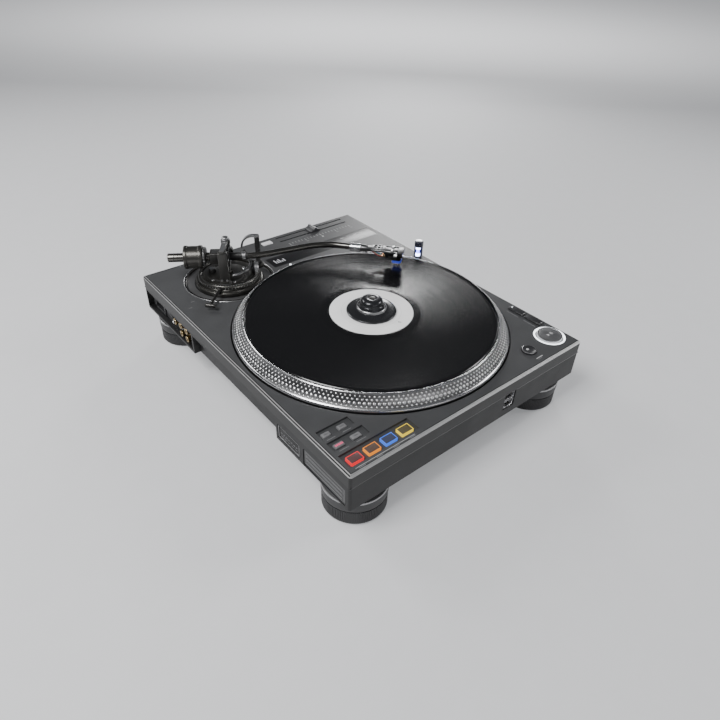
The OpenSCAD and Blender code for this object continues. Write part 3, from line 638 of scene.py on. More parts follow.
@dataclass
class Repeat:
    """Array of one small shape, round an axis or along a line, made with geometry nodes.

    Attributes:
        stamp: the shape repeated.
        count: how many.
        size: its size: width out from the axis, width along the array, and height.
        radius: distance from the axis, for an array round Z.
        start: first angle in degrees.
        span: angle covered in degrees.
        tilt: lean of each shape away from the axis, in degrees.
        step: step of an array along a line.
        origin: centre of the first shape, or of the circle.
        sides: sides of a stud.
    """
    stamp: Stamp
    count: int
    size: Point3
    radius: float = 0.0
    start: float = 0.0
    span: float = 360.0
    tilt: float = 0.0
    step: Point3 = (0.0, 0.0, 0.0)
    origin: Point3 = (0.0, 0.0, 0.0)
    sides: int = 8
    inputs: dict[str, str] = field(default_factory=lambda: {
        "Count": "NodeSocketInt", "Radius": "NodeSocketFloat", "Start": "NodeSocketFloat",
        "Turn": "NodeSocketFloat", "Tilt": "NodeSocketFloat", "Step": "NodeSocketVector",
        "Origin": "NodeSocketVector", "Size": "NodeSocketVector", "Finish": "NodeSocketMaterial"})

    def tree(self) -> bpy.types.NodeTree:
        """Builds the node group for this kind of stamp, once.

        Returns:
            The geometry node group.
        """
        name = f"repeat_{self.stamp.name.lower()}_{self.sides}"
        if name in bpy.data.node_groups:
            return bpy.data.node_groups[name]
        tree = bpy.data.node_groups.new(name, "GeometryNodeTree")
        for label, kind in self.inputs.items():
            tree.interface.new_socket(name=label, in_out="INPUT", socket_type=kind)
        tree.interface.new_socket(name="Geometry", in_out="OUTPUT", socket_type="NodeSocketGeometry")
        add, link = tree.nodes.new, tree.links.new
        given, out = add("NodeGroupInput"), add("NodeGroupOutput")
        line = add("GeometryNodeMeshLine")
        link(given.outputs["Count"], line.inputs["Count"])
        link(given.outputs["Origin"], line.inputs["Start Location"])
        link(given.outputs["Step"], line.inputs["Offset"])
        angle = add("ShaderNodeMath")
        angle.operation = "MULTIPLY_ADD"
        link(add("GeometryNodeInputIndex").outputs[0], angle.inputs[0])
        link(given.outputs["Turn"], angle.inputs[1])
        link(given.outputs["Start"], angle.inputs[2])
        offset = add("ShaderNodeCombineXYZ")
        for i, way in enumerate(("COSINE", "SINE")):
            trig, scale = add("ShaderNodeMath"), add("ShaderNodeMath")
            trig.operation, scale.operation = way, "MULTIPLY"
            link(angle.outputs[0], trig.inputs[0])
            link(trig.outputs[0], scale.inputs[0])
            link(given.outputs["Radius"], scale.inputs[1])
            link(scale.outputs[0], offset.inputs[i])
        move = add("GeometryNodeSetPosition")
        link(line.outputs[0], move.inputs["Geometry"])
        link(offset.outputs[0], move.inputs["Offset"])
        stamp = add(self.stamp.value)
        if self.stamp is Stamp.STUD:
            stamp.inputs["Vertices"].default_value = self.sides
            stamp.inputs["Radius"].default_value = 0.5
            stamp.inputs["Depth"].default_value = 1.0
        elif self.stamp is Stamp.DOME:
            stamp.inputs["Radius"].default_value = 0.5
            stamp.inputs["Subdivisions"].default_value = 2
        turned = add("ShaderNodeCombineXYZ")
        link(given.outputs["Tilt"], turned.inputs[1])
        link(angle.outputs[0], turned.inputs[2])
        place = add("GeometryNodeInstanceOnPoints")
        link(move.outputs[0], place.inputs["Points"])
        link(stamp.outputs[0], place.inputs["Instance"])
        link(turned.outputs[0], place.inputs["Rotation"])
        link(given.outputs["Size"], place.inputs["Scale"])
        real, paint = add("GeometryNodeRealizeInstances"), add("GeometryNodeSetMaterial")
        link(place.outputs[0], real.inputs[0])
        link(real.outputs[0], paint.inputs["Geometry"])
        link(given.outputs["Finish"], paint.inputs["Material"])
        link(paint.outputs[0], out.inputs[0])
        return tree

    def mesh(self, finish: Finish) -> bpy.types.Mesh:
        """Runs the nodes and returns the plain mesh.

        Args:
            finish: finish of the repeated shapes.
        """
        tree = self.tree()
        host = bpy.data.objects.new("array", bpy.data.meshes.new("array"))
        bpy.context.scene.collection.objects.link(host)
        modifier = host.modifiers.new("array", "NODES")
        modifier.node_group = tree
        full = abs(self.span) >= 359.9
        turn_by = math.radians(self.span) / (self.count if full else max(1, self.count - 1))
        values = {"Count": self.count, "Radius": float(self.radius), "Start": math.radians(self.start),
                  "Turn": turn_by if self.radius else 0.0, "Tilt": math.radians(self.tilt), "Step": self.step,
                  "Origin": self.origin, "Size": self.size, "Finish": finish.material()}
        for item in tree.interface.items_tree:
            if item.in_out == "INPUT":
                modifier[item.identifier] = values[item.name]
        graph = bpy.context.evaluated_depsgraph_get()
        made = bpy.data.meshes.new_from_object(host.evaluated_get(graph))
        host.modifiers.clear()
        bpy.data.objects.remove(host)
        return made


def dress_node(node: str, finish: Finish, soften: float = 0.0) -> None:
    """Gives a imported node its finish, and softens its edges.

    Args:
        node: the node's name.
        finish: its finish.
        soften: bevel width in millimetres, or 0 to leave the edges as they are.
    """
    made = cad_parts[node]
    for slot in made.material_slots:
        slot.link = "OBJECT"
        slot.material = finish.material()
    if soften:
        weld = made.modifiers.new("weld", "WELD")
        weld.merge_threshold = 0.00001
        bevel = made.modifiers.new("soften", "BEVEL")
        bevel.width = soften * 0.001
        bevel.segments = 2
        bevel.limit_method = "ANGLE"
        bevel.angle_limit = math.radians(40)
        bevel.use_clamp_overlap = True
    LOG.info("%s keeps its packed mesh", node)


# ---------------------------------------------------------------- case

@dataclass
class Case:
    """Upper and lower case, printed marks, connector panel, sockets and side plates.

    Attributes:
        width: case width.
        depth: case depth.
        top_h: height of the upper case.
        lift: height of printed marks above the deck.
    """
    width: float = 353.0
    depth: float = 453.0
    top_h: float = 17.0
    lift: float = 0.06

    def build(self) -> None:
        """Builds everything of the fixed case."""
        dress_node("top_case", DECK_PAINT_AND_PAINTED_LIGHT)
        dress_node("lower_case", BLACK_CASE)
        dress_node("bottom_cover", BLACK_CASE)
        dress_node("connector_panel", Finish("panel_paint", (0.05, 0.05, 0.052), 0.0, 0.4, 3000, 0.00003),
                   0.2)
        dress_node("power_inlet", KEY_DARK, 0.3)
        dress_node("motor_stator", COPPER)
        dress_node("bearing_housing", GOLD)
        dress_node("main_board", Finish("circuit_board", (0.02, 0.12, 0.05), 0.0, 0.35, 2600, 0.00002))
        dress_node("power_supply", Finish("varnished_steel", (0.2, 0.2, 0.19), 0.6, 0.4, 1800, 0.00002))
        self.marks()
        self.seams()
        self.sockets()
        self.side_plates()
        self.usb()
        self.display()

    def marks(self) -> None:
        """Printed lines and ticks on the deck, all of them plain dashes."""
        s = Shape("deck_marks")
        lift = self.lift

        def line(x0: float, y0: float, x1: float, y1: float, finish: Finish = PRINT) -> None:
            """One printed bar."""
            s.box((x0, y0, 0), (x1, y1, lift), finish, 0)

        low, _ = cad_box("pad_1")
        low4, _ = cad_box("pad_4")
        line(low.x + 1, low.y - 4.6, low4.x + 12, low.y - 4.2, PRINT)
        for i in range(4):
            x = low.x + 1.2 + i * (low4.x - low.x) / 3
            line(x + 3, low.y - 6.4, x + 10.5, low.y - 5.5, PRINT_DIM)
        for node in ("function_button_1", "function_button_2", "function_button_3", "function_button_4"):
            a, b = cad_box(node)
            line(a.x + 1.5, a.y - 3.9, b.x - 0.6, a.y - 3.2, PRINT_DIM)
        a, b = cad_box("power_button")
        line(a.x + 6, a.y - 4.6, b.x - 5, a.y - 3.6)
        line(a.x + 6, a.y - 6.6, b.x - 8.5, a.y - 6.0, PRINT_DIM)
        for node in ("speed_button_low", "speed_button_high"):
            a, b = cad_box(node)
            line(a.x - 4.2, a.y + 3, a.x - 3.2, b.y - 4, PRINT_DIM)
        fader_low, fader_high = cad_box("pitch_fader")
        middle = (fader_low.x + fader_high.x) / 2
        scale_y = fader_low.y - 9.5
        s.array(Repeat(Stamp.RIB, 21, (0.55, 4.2, lift), step=(5.6, 0, 0),
                       origin=(middle - 56, scale_y, lift / 2)), PRINT)
        s.array(Repeat(Stamp.RIB, 5, (0.8, 6.6, lift), step=(28, 0, 0),
                       origin=(middle - 56, scale_y - 1.2, lift / 2)), PRINT)
        for k in (-2, -1, 1, 2):
            line(middle + 28 * k - 2.0, scale_y - 9.0, middle + 28 * k + 2.0, scale_y - 6.6, PRINT_DIM)
        line(middle - 1.3, scale_y - 9.6, middle + 1.3, scale_y - 6.4)
        line(10, 447.2, 49, 448.0, KEY_DARK)
        for x in (52.5, 58):
            s.disc(0.9, 0, lift, PRINT_DIM, 0, 12, shift(x, 447.4))
        for x, y, w in ((21, 352, 5), (13, 340, 4), (145, 333, 4)):
            line(x, y, x + w, y + 0.8, PRINT_DIM)
        s.build("chassis", slot="light")

    def seams(self) -> None:
        """Thin shadow line where the two halves of the case meet, and the well's bright ring."""
        s = Shape("case_trim")
        z = -self.top_h
        for x0, x1, y in ((0.02, 217.6, 0.0), (236.4, self.width - 0.02, 0.0)):
            s.box((x0, y - 0.01, z - 0.35), (x1, y + 0.4, z + 0.25), BLACK_GLOSS, 0)
        s.box((0.02, self.depth - 0.4, z - 0.35), (self.width - 0.02, self.depth + 0.01, z + 0.25),
              BLACK_GLOSS, 0)
        s.box((self.width - 0.4, 0.02, z - 0.35), (self.width + 0.01, self.depth - 0.02, z + 0.25),
              BLACK_GLOSS, 0)
        s.revolve([(61.0, -0.5), (61.0, 0.1), (60.7, 0.35), (59.9, 0.35), (59.6, 0.1), (59.6, -0.5)],
                  SATIN_METAL, 160, ARM_WELL)
        s.revolve([(59.6, 0.03), (58.1, 0.03)], BLACK_GLOSS, 160, ARM_WELL)
        s.revolve([(58.1, 0.03), (57.6, 0.1), (57.2, -0.6), (56.8, -2.9)], BRONZE, 160, ARM_WELL)
        s.revolve([(56.8, -2.95), (46.5, -2.95)], Finish("well_floor", (0.12, 0.12, 0.122), 0.5, 0.36), 160,
                  ARM_WELL)
        s.build("chassis", slot="bronze")

    def sockets(self) -> None:
        """Phono sockets, earth terminal and their screws on the connector panel."""
        s = Shape("phono_sockets")
        colours = (KEY_WHITE, Finish("socket_red", (0.45, 0.03, 0.03), 0.0, 0.3))
        for y in (334, 350):
            for i, z in enumerate((-38.5, -26.5)):
                at = shift(0, y, z) @ LEVEL_X
                s.revolve(rounded([(1.7, 12), (1.7, 1.3), (2.3, 1.0), (4.0, 1.0), (4.15, 1.3), (4.15, 6.5),
                                   (5.6, 6.5), (5.6, 8), (3, 8), (3, 20), (0, 20)], 0.2, 2), GOLD, 40, at)
                s.ring(1.75, 3.5, 1.25, 1.6, colours[i], 0.1, 32, at)
                s.array(Repeat(Stamp.RIB, 6, (0.8, 3.2, 1.2), radius=5.2, origin=(0, 0, 7.2)), GOLD, at)
        at = shift(0, 372, -32.5) @ LEVEL_X
        s.disc(2, 1, 18, BRIGHT_METAL, 0.4, 32, at)
        s.revolve(rounded([(2, 3), (4.3, 3), (4.6, 3.5), (4.6, 7.6), (4.3, 8), (2, 8)], 0.2, 2, True), GOLD,
                  40, at, True)
        s.array(Repeat(Stamp.RIB, 28, (0.45, 0.5, 4.0), radius=4.45, origin=(0, 0, 5.5)), GOLD, at)
        s.build("chassis", "signal_sockets", slot="gold")
        t = Shape("panel_trim")
        for y, z in ((322, -32.5), (361, -41), (385, -41), (396, -25), (444, -32.5)):
            at = shift(7.2, y, z) @ LEVEL_X
            t.revolve(rounded([(0, 0.2), (1.6, 0.2), (2.0, 0.7), (2.0, 0.9), (0, 0.9)], 0.2, 2), BRIGHT_METAL,
                      24, at)
            t.box((-1.4, -0.25, 0.12), (1.4, 0.25, 0.3), BLACK_CASE, 0, at)
        for y, z, w in ((329, -44.2, 9), (345, -44.2, 9), (367, -24, 10), (389, -31, 8)):
            t.box((7.9, y, z), (8.01, y + w, z + 0.7), PRINT, 0)
        t.box((5.9, 384, -37), (8.0, 392, -32), BLACK_METAL, 0.3)
        t.build("chassis", slot="panel")

    def side_plates(self) -> None:
        """Service cover and ribbed plate on the left wall."""
        s = Shape("side_plates")
        plate = Finish("plate_grey", (0.11, 0.11, 0.112), 0.3, 0.42, 2600, 0.00003)
        y0, y1, z0, z1 = 82.0, 122.0, -44.0, -26.0
        for a, b in (((0.6, y0, z0), (2, y0 + 1.6, z1)), ((0.6, y1 - 1.6, z0), (2, y1, z1)),
                     ((0.6, y0, z0), (2, y1, z0 + 1.6)), ((0.6, y0, z1 - 1.6), (2, y1, z1))):
            s.box(a, b, SATIN_METAL, 0.25)
        s.box((1.3, y0 + 1, z0 + 1), (2, y1 - 1, z1 - 1), BLACK_CASE, 0.1)
        s.array(Repeat(Stamp.RIB, 7, (0.35, 2.6, 1.0), step=(0, 4.6, 0), origin=(1.2, y0 + 6, (z0 + z1) / 2)),
                PRINT_DIM)
        s.array(Repeat(Stamp.RIB, 5, (0.35, 3.4, 0.7), step=(0, 6.4, 0), origin=(1.2, y0 + 7, z0 + 5)),
                PRINT_DIM)
        s.box((1.0, 7, -46), (2, 75, -24), plate, 0.3)
        s.array(Repeat(Stamp.RIB, 3, (0.9, 59.5, 2.0), step=(0, 0, 5.4), origin=(0.8, 41, -41)), plate)
        s.array(Repeat(Stamp.RIB, 3, (0.2, 38, 0.5), step=(0, 0, 5.4), origin=(0.36, 33, -40.8)), PRINT_DIM)
        s.array(Repeat(Stamp.RIB, 2, (0.2, 30, 0.5), step=(0, 0, 5.4), origin=(0.95, 52, -38.3)), PRINT_DIM)
        s.build("chassis", "side_panels", slot="plate")

    def usb(self) -> None:
        """Two USB sockets with folded shells, springs and tongues."""
        s = Shape("usb_sockets")
        low, high = cad_box("usb_ports")
        bezel = Finish("usb_bezel", (0.02, 0.02, 0.021), 0.0, 0.4, 2600, 0.00003)
        mid = (low.z + high.z) / 2
        for k in range(2):
            z0 = low.z + 1.2 + k * (mid - low.z - 0.2)
            a, b = (low.x + 1.6, low.y + 0.3, z0), (high.x - 1.6, 14.0, z0 + 8.3)
            wall = 0.5
            s.box((a[0] - wall, a[1], a[2] - wall), (b[0] + wall, b[1], a[2]), BRIGHT_METAL, 0.12)
            s.box((a[0] - wall, a[1], b[2]), (b[0] + wall, b[1], b[2] + wall), BRIGHT_METAL, 0.12)
            s.box((a[0] - wall, a[1], a[2] - wall), (a[0], b[1], b[2] + wall), BRIGHT_METAL, 0.12)
            s.box((b[0], a[1], a[2] - wall), (b[0] + wall, b[1], b[2] + wall), BRIGHT_METAL, 0.12)
            s.box((a[0] + 1.8, 3, z0 + 6.0), (b[0] - 1.8, 14, z0 + 7.6), KEY_WHITE, 0.15)
            s.array(Repeat(Stamp.RIB, 4, (1.1, 7, 0.2), step=(2.6, 0, 0),
                           origin=(a[0] + 3.3, 7.5, z0 + 5.95)), GOLD)
            s.box((a[0], 13.8, z0), (b[0], 14.2, z0 + 8.3), BLACK_CASE, 0)
        z_levels = (low.z, low.z + 0.7, mid - 0.35, mid + 0.35, high.z - 0.55, high.z)
        for z0, z1 in zip(z_levels[0::2], z_levels[1::2]):
            s.box((low.x + 0.05, low.y, z0), (high.x - 0.05, 3.5, z1), bezel, 0.15)
        s.box((low.x + 0.05, low.y, low.z), (low.x + 1.1, 3.5, high.z), bezel, 0.15)
        s.box((high.x - 1.1, low.y, low.z), (high.x - 0.05, 3.5, high.z), bezel, 0.15)
        s.box((low.x + 0.4, 14, low.z + 0.4), (high.x - 0.4, 22, high.z - 0.4), SATIN_METAL, 0.3)
        s.build("chassis", "usb_ports", slot="steel")

    def display(self) -> None:
        """Gloss black window with its lit figures, all of them plain bars."""
        s = Shape("display")
        low, high = cad_box("display_window")
        s.box((low.x, low.y, low.z), (high.x, high.y, high.z), DISPLAY_GLASS, 0.2)
        z = high.z + 0.01
        for x, y, w, d in ((8, 9, 1.2, 10), (11.5, 9, 1.2, 7), (15, 9, 1.2, 10), (18.5, 9, 1.2, 4.5),
                           (22, 9, 1.2, 8)):
            s.box((low.x + x, low.y + y, z - 0.05), (low.x + x + w, low.y + y + d, z + 0.04), DISPLAY_LIGHT,
                  0)
        s.array(Repeat(Stamp.STUD, 9, (0.8, 0.8, 0.1), step=(5.4, 0, 0), origin=(low.x + 62, low.y + 12, z)),
                PRINT_DIM)
        s.array(Repeat(Stamp.RIB, 4, (6.4, 0.9, 0.1), step=(12.5, 0, 0), origin=(low.x + 132, low.y + 19, z)),
                PRINT)
        s.array(Repeat(Stamp.RIB, 4, (4.2, 0.8, 0.1), step=(12.5, 0, 0), origin=(low.x + 131, low.y + 9, z)),
                PRINT_DIM)
        s.build("chassis", "display_window", slot="window")


PIVOT: Point = (91.0, 378.0)
SPINDLE: Point = (176.3, 182.3)
ARM_WELL = shift(PIVOT[0], PIVOT[1])


# ---------------------------------------------------------------- controls

@dataclass(frozen=True)
class PadColour:
    """Colour of one lit pad.

    Attributes:
        name: word for the colour.
        glow: its light.
    """
    name: str
    glow: Point3


@dataclass
class Controls:
    """Buttons, pads, fader and lamp, each on its own body.

    Attributes:
        pads: colours of the pads from the left.
    """
    pads: tuple[PadColour, ...] = (PadColour("red", (1.0, 0.02, 0.03)), PadColour("orange", (1.0, 0.3, 0.02)),
                                   PadColour("blue", (0.05, 0.2, 1.0)),
                                   PadColour("yellow", (1.0, 0.72, 0.05)))

    def build(self) -> None:
        """Builds every control."""
        self.start()
        self.lights()
        self.power()
        self.speeds()
        self.pad_row()
        self.functions()
        self.reset()
        self.fader()
        self.lamp()

    def start(self) -> None:
        """Start and stop button: a satin disc with a spun face."""
        low, high = cad_box("start_button")
        centre = (low + high) / 2
        s = Shape("start_stop_button", shift(centre.x, centre.y))
        r = (high.x - low.x) / 2 - 2.4
        at = DECK @ Vector((centre.x, centre.y, 0))
        face = TurnedFinish("button_spun", (0.3, 0.3, 0.305), 0.9, 0.34, 2200, 0.000004, centre=tuple(at),
                            pitch=0.0009, stretch=0.5)
        top = high.z
        s.revolve([(0, low.z), (r + 2.4, low.z), (r + 2.4, low.z + 1.5), (r, low.z + 1.5), (r, top - 0.9),
                   (r - 0.25, top - 0.3), (r - 0.9, top), (r - 2.4, top), (r - 2.6, top - 0.18),
                   (r - 2.8, top - 0.1), (0, top - 0.1)], face, 128)
        s.prism([(-4.4, -2.2), (-1.0, 0), (-4.4, 2.2)], top - 0.2, top - 0.02, PRINT, 0)
        for x in (1.2, 3.0):
            s.box((x, -2.0, top - 0.2), (x + 1.0, 2.0, top - 0.02), PRINT, 0)
        s.build("start", "start_button", slot="satin_grey")

    def lights(self) -> None:
        """Lit ring round the start and stop button, and the indicator lens."""
        low, high = cad_box("start_button")
        centre = (low + high) / 2
        s = Shape("status_lenses")
        ring = shift(centre.x, centre.y)
        s.revolve([(17.0, -2), (19, -2), (19, 0.0), (18.7, 0.28), (18.2, 0.3), (17.6, 0.3), (17.1, 0.2),
                   (17.0, 0)],
                  WHITE_LIGHT, 128, ring, True)
        s.revolve(rounded([(0, -4), (1.6, -4), (1.6, 0.1), (1.1, 0.45), (0, 0.5)], 0.3, 3), WHITE_LIGHT, 24,
                  shift(178.8, 362.2))
        s.build("chassis", "status_lights", slot="light")

    def power(self) -> None:
        """Power button: dark dished disc with a bright chamfer."""
        low, high = cad_box("power_button")
        centre = (low + high) / 2
        r = (high.x - low.x) / 2 - 2.5
        s = Shape("power_key", shift(centre.x, centre.y))
        t = high.z
        s.revolve([(0, low.z), (r + 2.5, low.z), (r + 2.5, low.z + 1.5), (r, low.z + 1.5), (r, t - 0.8)],
                  KEY_DARK, 96)
        s.revolve([(r, t - 0.8), (r - 0.3, t - 0.2), (r - 0.8, t)], SATIN_METAL, 96)
        s.revolve([(r - 0.8, t), (r - 1.6, t - 0.1), (r - 2.4, t - 0.5), (r * 0.5, t - 0.85), (0, t - 1.0)],
                  KEY_DARK, 96)
        s.revolve(rounded([(0, t - 1.1), (1.7, t - 1.1), (1.7, t - 0.55), (0, t - 0.45)], 0.2, 3), PRINT, 24,
                  shift(-1, 1.5))
        s.build("power", "power_button", slot="button_black")

    def key(self, name: str, node: str, body: str, flange: float, finish: Finish, slot: str, dish: float,
            lip: Finish | None = None) -> Shape:
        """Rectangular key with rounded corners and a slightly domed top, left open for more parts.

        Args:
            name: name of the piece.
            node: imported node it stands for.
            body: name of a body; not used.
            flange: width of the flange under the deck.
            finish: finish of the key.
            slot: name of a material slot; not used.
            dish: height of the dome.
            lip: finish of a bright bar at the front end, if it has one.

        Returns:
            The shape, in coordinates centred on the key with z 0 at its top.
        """
        low, high = cad_box(node)
        c = (low + high) / 2
        w, d = (high.x - low.x) / 2 - flange, (high.y - low.y) / 2 - flange
        s = Shape(name, shift(c.x, c.y, high.z))
        depth = high.z - low.z
        s.prism([(-w, -d), (w, -d), (w, d), (-w, d)], -depth + 1.2, -dish, finish, 0.7)
        s.prism([(-w + 0.5, -d + 0.5), (w - 0.5, -d + 0.5), (w - 0.5, d - 0.5), (-w + 0.5, d - 0.5)],
                -dish - 0.5, 0, finish, min(0.9, dish + 0.3))
        s.box((-w - flange, -d - flange, -depth), (w + flange, d + flange, -depth + 1.2), KEY_DARK, 0.2)
        if lip:
            s.box((-w + 0.6, -d + 0.5, -0.6), (w - 0.6, -d + 1.7, 0.0), lip, 0.25)
        return s

    def speeds(self) -> None:
        """The two speed keys."""
        for name, node, body in (("speed_key_low", "speed_button_low", "speed_low"),
                                 ("speed_key_high", "speed_button_high", "speed_high")):
            s = self.key(name, node, body, 1.2, KEY_DARK, "button_black", 0.6, SATIN_METAL)
            if body == "speed_high":
                s.box((-1.1, 7.4, -0.3), (1.1, 9.2, 0.0), WHITE_LIGHT, 0.1)
            s.build(body, node, slot="button_black")

    def pad_row(self) -> None:
        """Pads: a lit, translucent frame with a dark rubber face let into it."""
        for i, colour in enumerate(self.pads, 1):
            node = f"pad_{i}"
            low, high = cad_box(node)
            c = (low + high) / 2
            w, d = (high.x - low.x) / 2 - 1.2, (high.y - low.y) / 2 - 1.2
            lit = Finish(f"lit_{colour.name}", tuple(0.12 * v + 0.004 for v in colour.glow), 0.0, 0.4,
                         glow=colour.glow,
                         power=1.1)
            face = Finish(f"pad_face_{colour.name}", tuple(0.035 + 0.03 * v for v in colour.glow), 0.0, 0.45,
                          3400, 0.00004,
                          glow=colour.glow, power=0.02)
            s = Shape(f"pad_{colour.name}", shift(c.x, c.y, high.z))
            depth = high.z - low.z
            frame_t = 0.6
            s.prism([(-w, -d), (w, -d), (w, d), (-w, d)], -depth + 1.2, -0.35, lit, 0.8)
            for a, b in (((-w + 0.1, -d + 0.1), (w - 0.1, -d + frame_t)),
                         ((-w + 0.1, d - frame_t), (w - 0.1, d - 0.1)),
                         ((-w + 0.1, -d + 0.1), (-w + frame_t, d - 0.1)),
                         ((w - frame_t, -d + 0.1), (w - 0.1, d - 0.1))):
                s.box((a[0], a[1], -1.2), (b[0], b[1], -0.02), lit, 0.45)
            s.box((-w + frame_t + 0.1, -d + frame_t + 0.1, -1.2),
                  (w - frame_t - 0.1, d - frame_t - 0.1, -0.14), face, 0.5)
            s.box((-w - 1.2, -d - 1.2, -depth), (w + 1.2, d + 1.2, -depth + 1.2), KEY_DARK, 0.2)
            s.build(node, node, slot=f"pad_{colour.name}")

    def functions(self) -> None:
        """Four small function keys, one of them lit red."""
        for i in range(1, 5):
            node = f"function_button_{i}"
            s = self.key(f"function_key_{i}", node, f"function_{i}", 1.2, KEY_GREY, "button_grey", 0.4)
            if i == 3:
                s.box((-4.6, -1.1, -0.06), (4.6, 1.1, 0.0), RED_LIGHT, 0)
            else:
                s.box((-2.4, -0.3, -0.06), (2.4, 0.3, 0.0), PRINT_DIM, 0)
            s.build(f"function_{i}", node, slot="button_grey")

    def reset(self) -> None:
        """Pitch reset key."""
        s = self.key("reset_key", "pitch_reset_button", "reset", 1.2, KEY_WHITE, "button_white", 0.5)
        s.build("reset", "pitch_reset_button", slot="button_white")

    def fader(self) -> None:
        """Fader cap: dished sides, a ridge and a white index line, on two blade legs."""
        low, high = cad_box("pitch_fader")
        x = (low.x + high.x) / 2
        y0, y1 = 427.75, 445.75
        s = Shape("fader_cap", shift(x, 0) @ turn(90, "X"))
        side = [(-9, 0.6), (9, 0.6), (8.6, 1.7), (6.2, 3.0), (3.2, 4.2), (1.6, 6.2), (1.1, 6.6), (-1.1, 6.6),
                (-1.6, 6.2),
                (-3.2, 4.2), (-6.2, 3.0), (-8.6, 1.7)]
        cap = Finish("fader_grip", (0.035, 0.035, 0.037), 0.0, 0.36, 3000, 0.00002)
        s.prism(side, -y1, -y0, cap, 0.4)
        s.box((-0.45, 6.5, -y1 + 0.5), (0.45, 6.62, -y0 - 0.5), KEY_WHITE, 0)
        for k in (-1, 1):
            for i in range(3):
                s.box((k * (5.0 + i * 1.2) - 0.2, 1.9 + (2 - i) * 0.55, -y1 + 1), (k * (5.0 + i * 1.2) + 0.2,
                      2.45 + (2 - i) * 0.55, -y0 - 1), KEY_GREY, 0.1)
        for y in (430.5, 443.0):
            s.box((-5, -10, -y - 1), (5, 0.7, -y + 1), SATIN_METAL, 0.2)
        s.box((-7, -12, -446.4), (7, -10, -426.6), BLACK_METAL, 0.3)
        s.build("fader", "pitch_fader", slot="fader")
        t = Shape("fader_tracks")
        for y in (430.5, 443.0):
            t.box((206.1, y - 1.28, -7.4), (329.9, y + 1.28, -3.6), BLACK_GLOSS, 0)
        t.build("chassis", slot="chassis")

    def lamp(self) -> None:
        """Pop-up lamp: black tube with a cut window and a lit core."""
        low, high = cad_box("target_lamp")
        c = (low + high) / 2
        aim = math.degrees(math.atan2(SPINDLE[1] - c.y, SPINDLE[0] - c.x))
        s = Shape("stylus_lamp", shift(c.x, c.y) @ turn(aim))
        r, top = (high.x - low.x) / 2, high.z
        tint = Finish("lamp_smoke", (0.012, 0.014, 0.03), 0.0, 0.15, coat=0.5)
        z0, z1 = 9.0, 22.5
        s.revolve(rounded([(0, low.z), (r, low.z), (r, z0), (0, z0)], 0.5, 3), tint, 64)
        s.revolve(rounded([(0, z1), (r, z1), (r, top - 0.7), (r - 0.8, top), (0, top)], 0.4, 3), tint, 64)
        half = [(r * math.cos(math.radians(a)), r * math.sin(math.radians(a))) for a in range(77, 284, 9)]
        s.prism(half, z0 - 0.2, z1 + 0.2, tint, 0)
        s.disc(2.2, z0, z1, BLUE_LIGHT, 0.3, 24, shift(2.0, 0))
        s.revolve(rounded([(0, z1 - 3.4), (3.2, z1 - 3.4), (3.2, z1 + 0.05), (0, z1 + 0.05)], 0.8, 3),
                  BLUE_CORE, 32, shift(2.2, 0))
        s.revolve(rounded([(0, z0 - 0.1), (3.4, z0 - 0.1), (3.0, z0 + 3.2), (0, z0 + 3.8)], 0.8, 3),
                  BLUE_CORE, 32, shift(2.2, 0))
        s.array(Repeat(Stamp.RIB, 40, (0.35, 0.42, 4.4), radius=r - 0.12, origin=(0, 0, (z1 + top) / 2)),
                tint)
        s.build("lamp", "target_lamp", slot="lamp")


# ---------------------------------------------------------------- platter

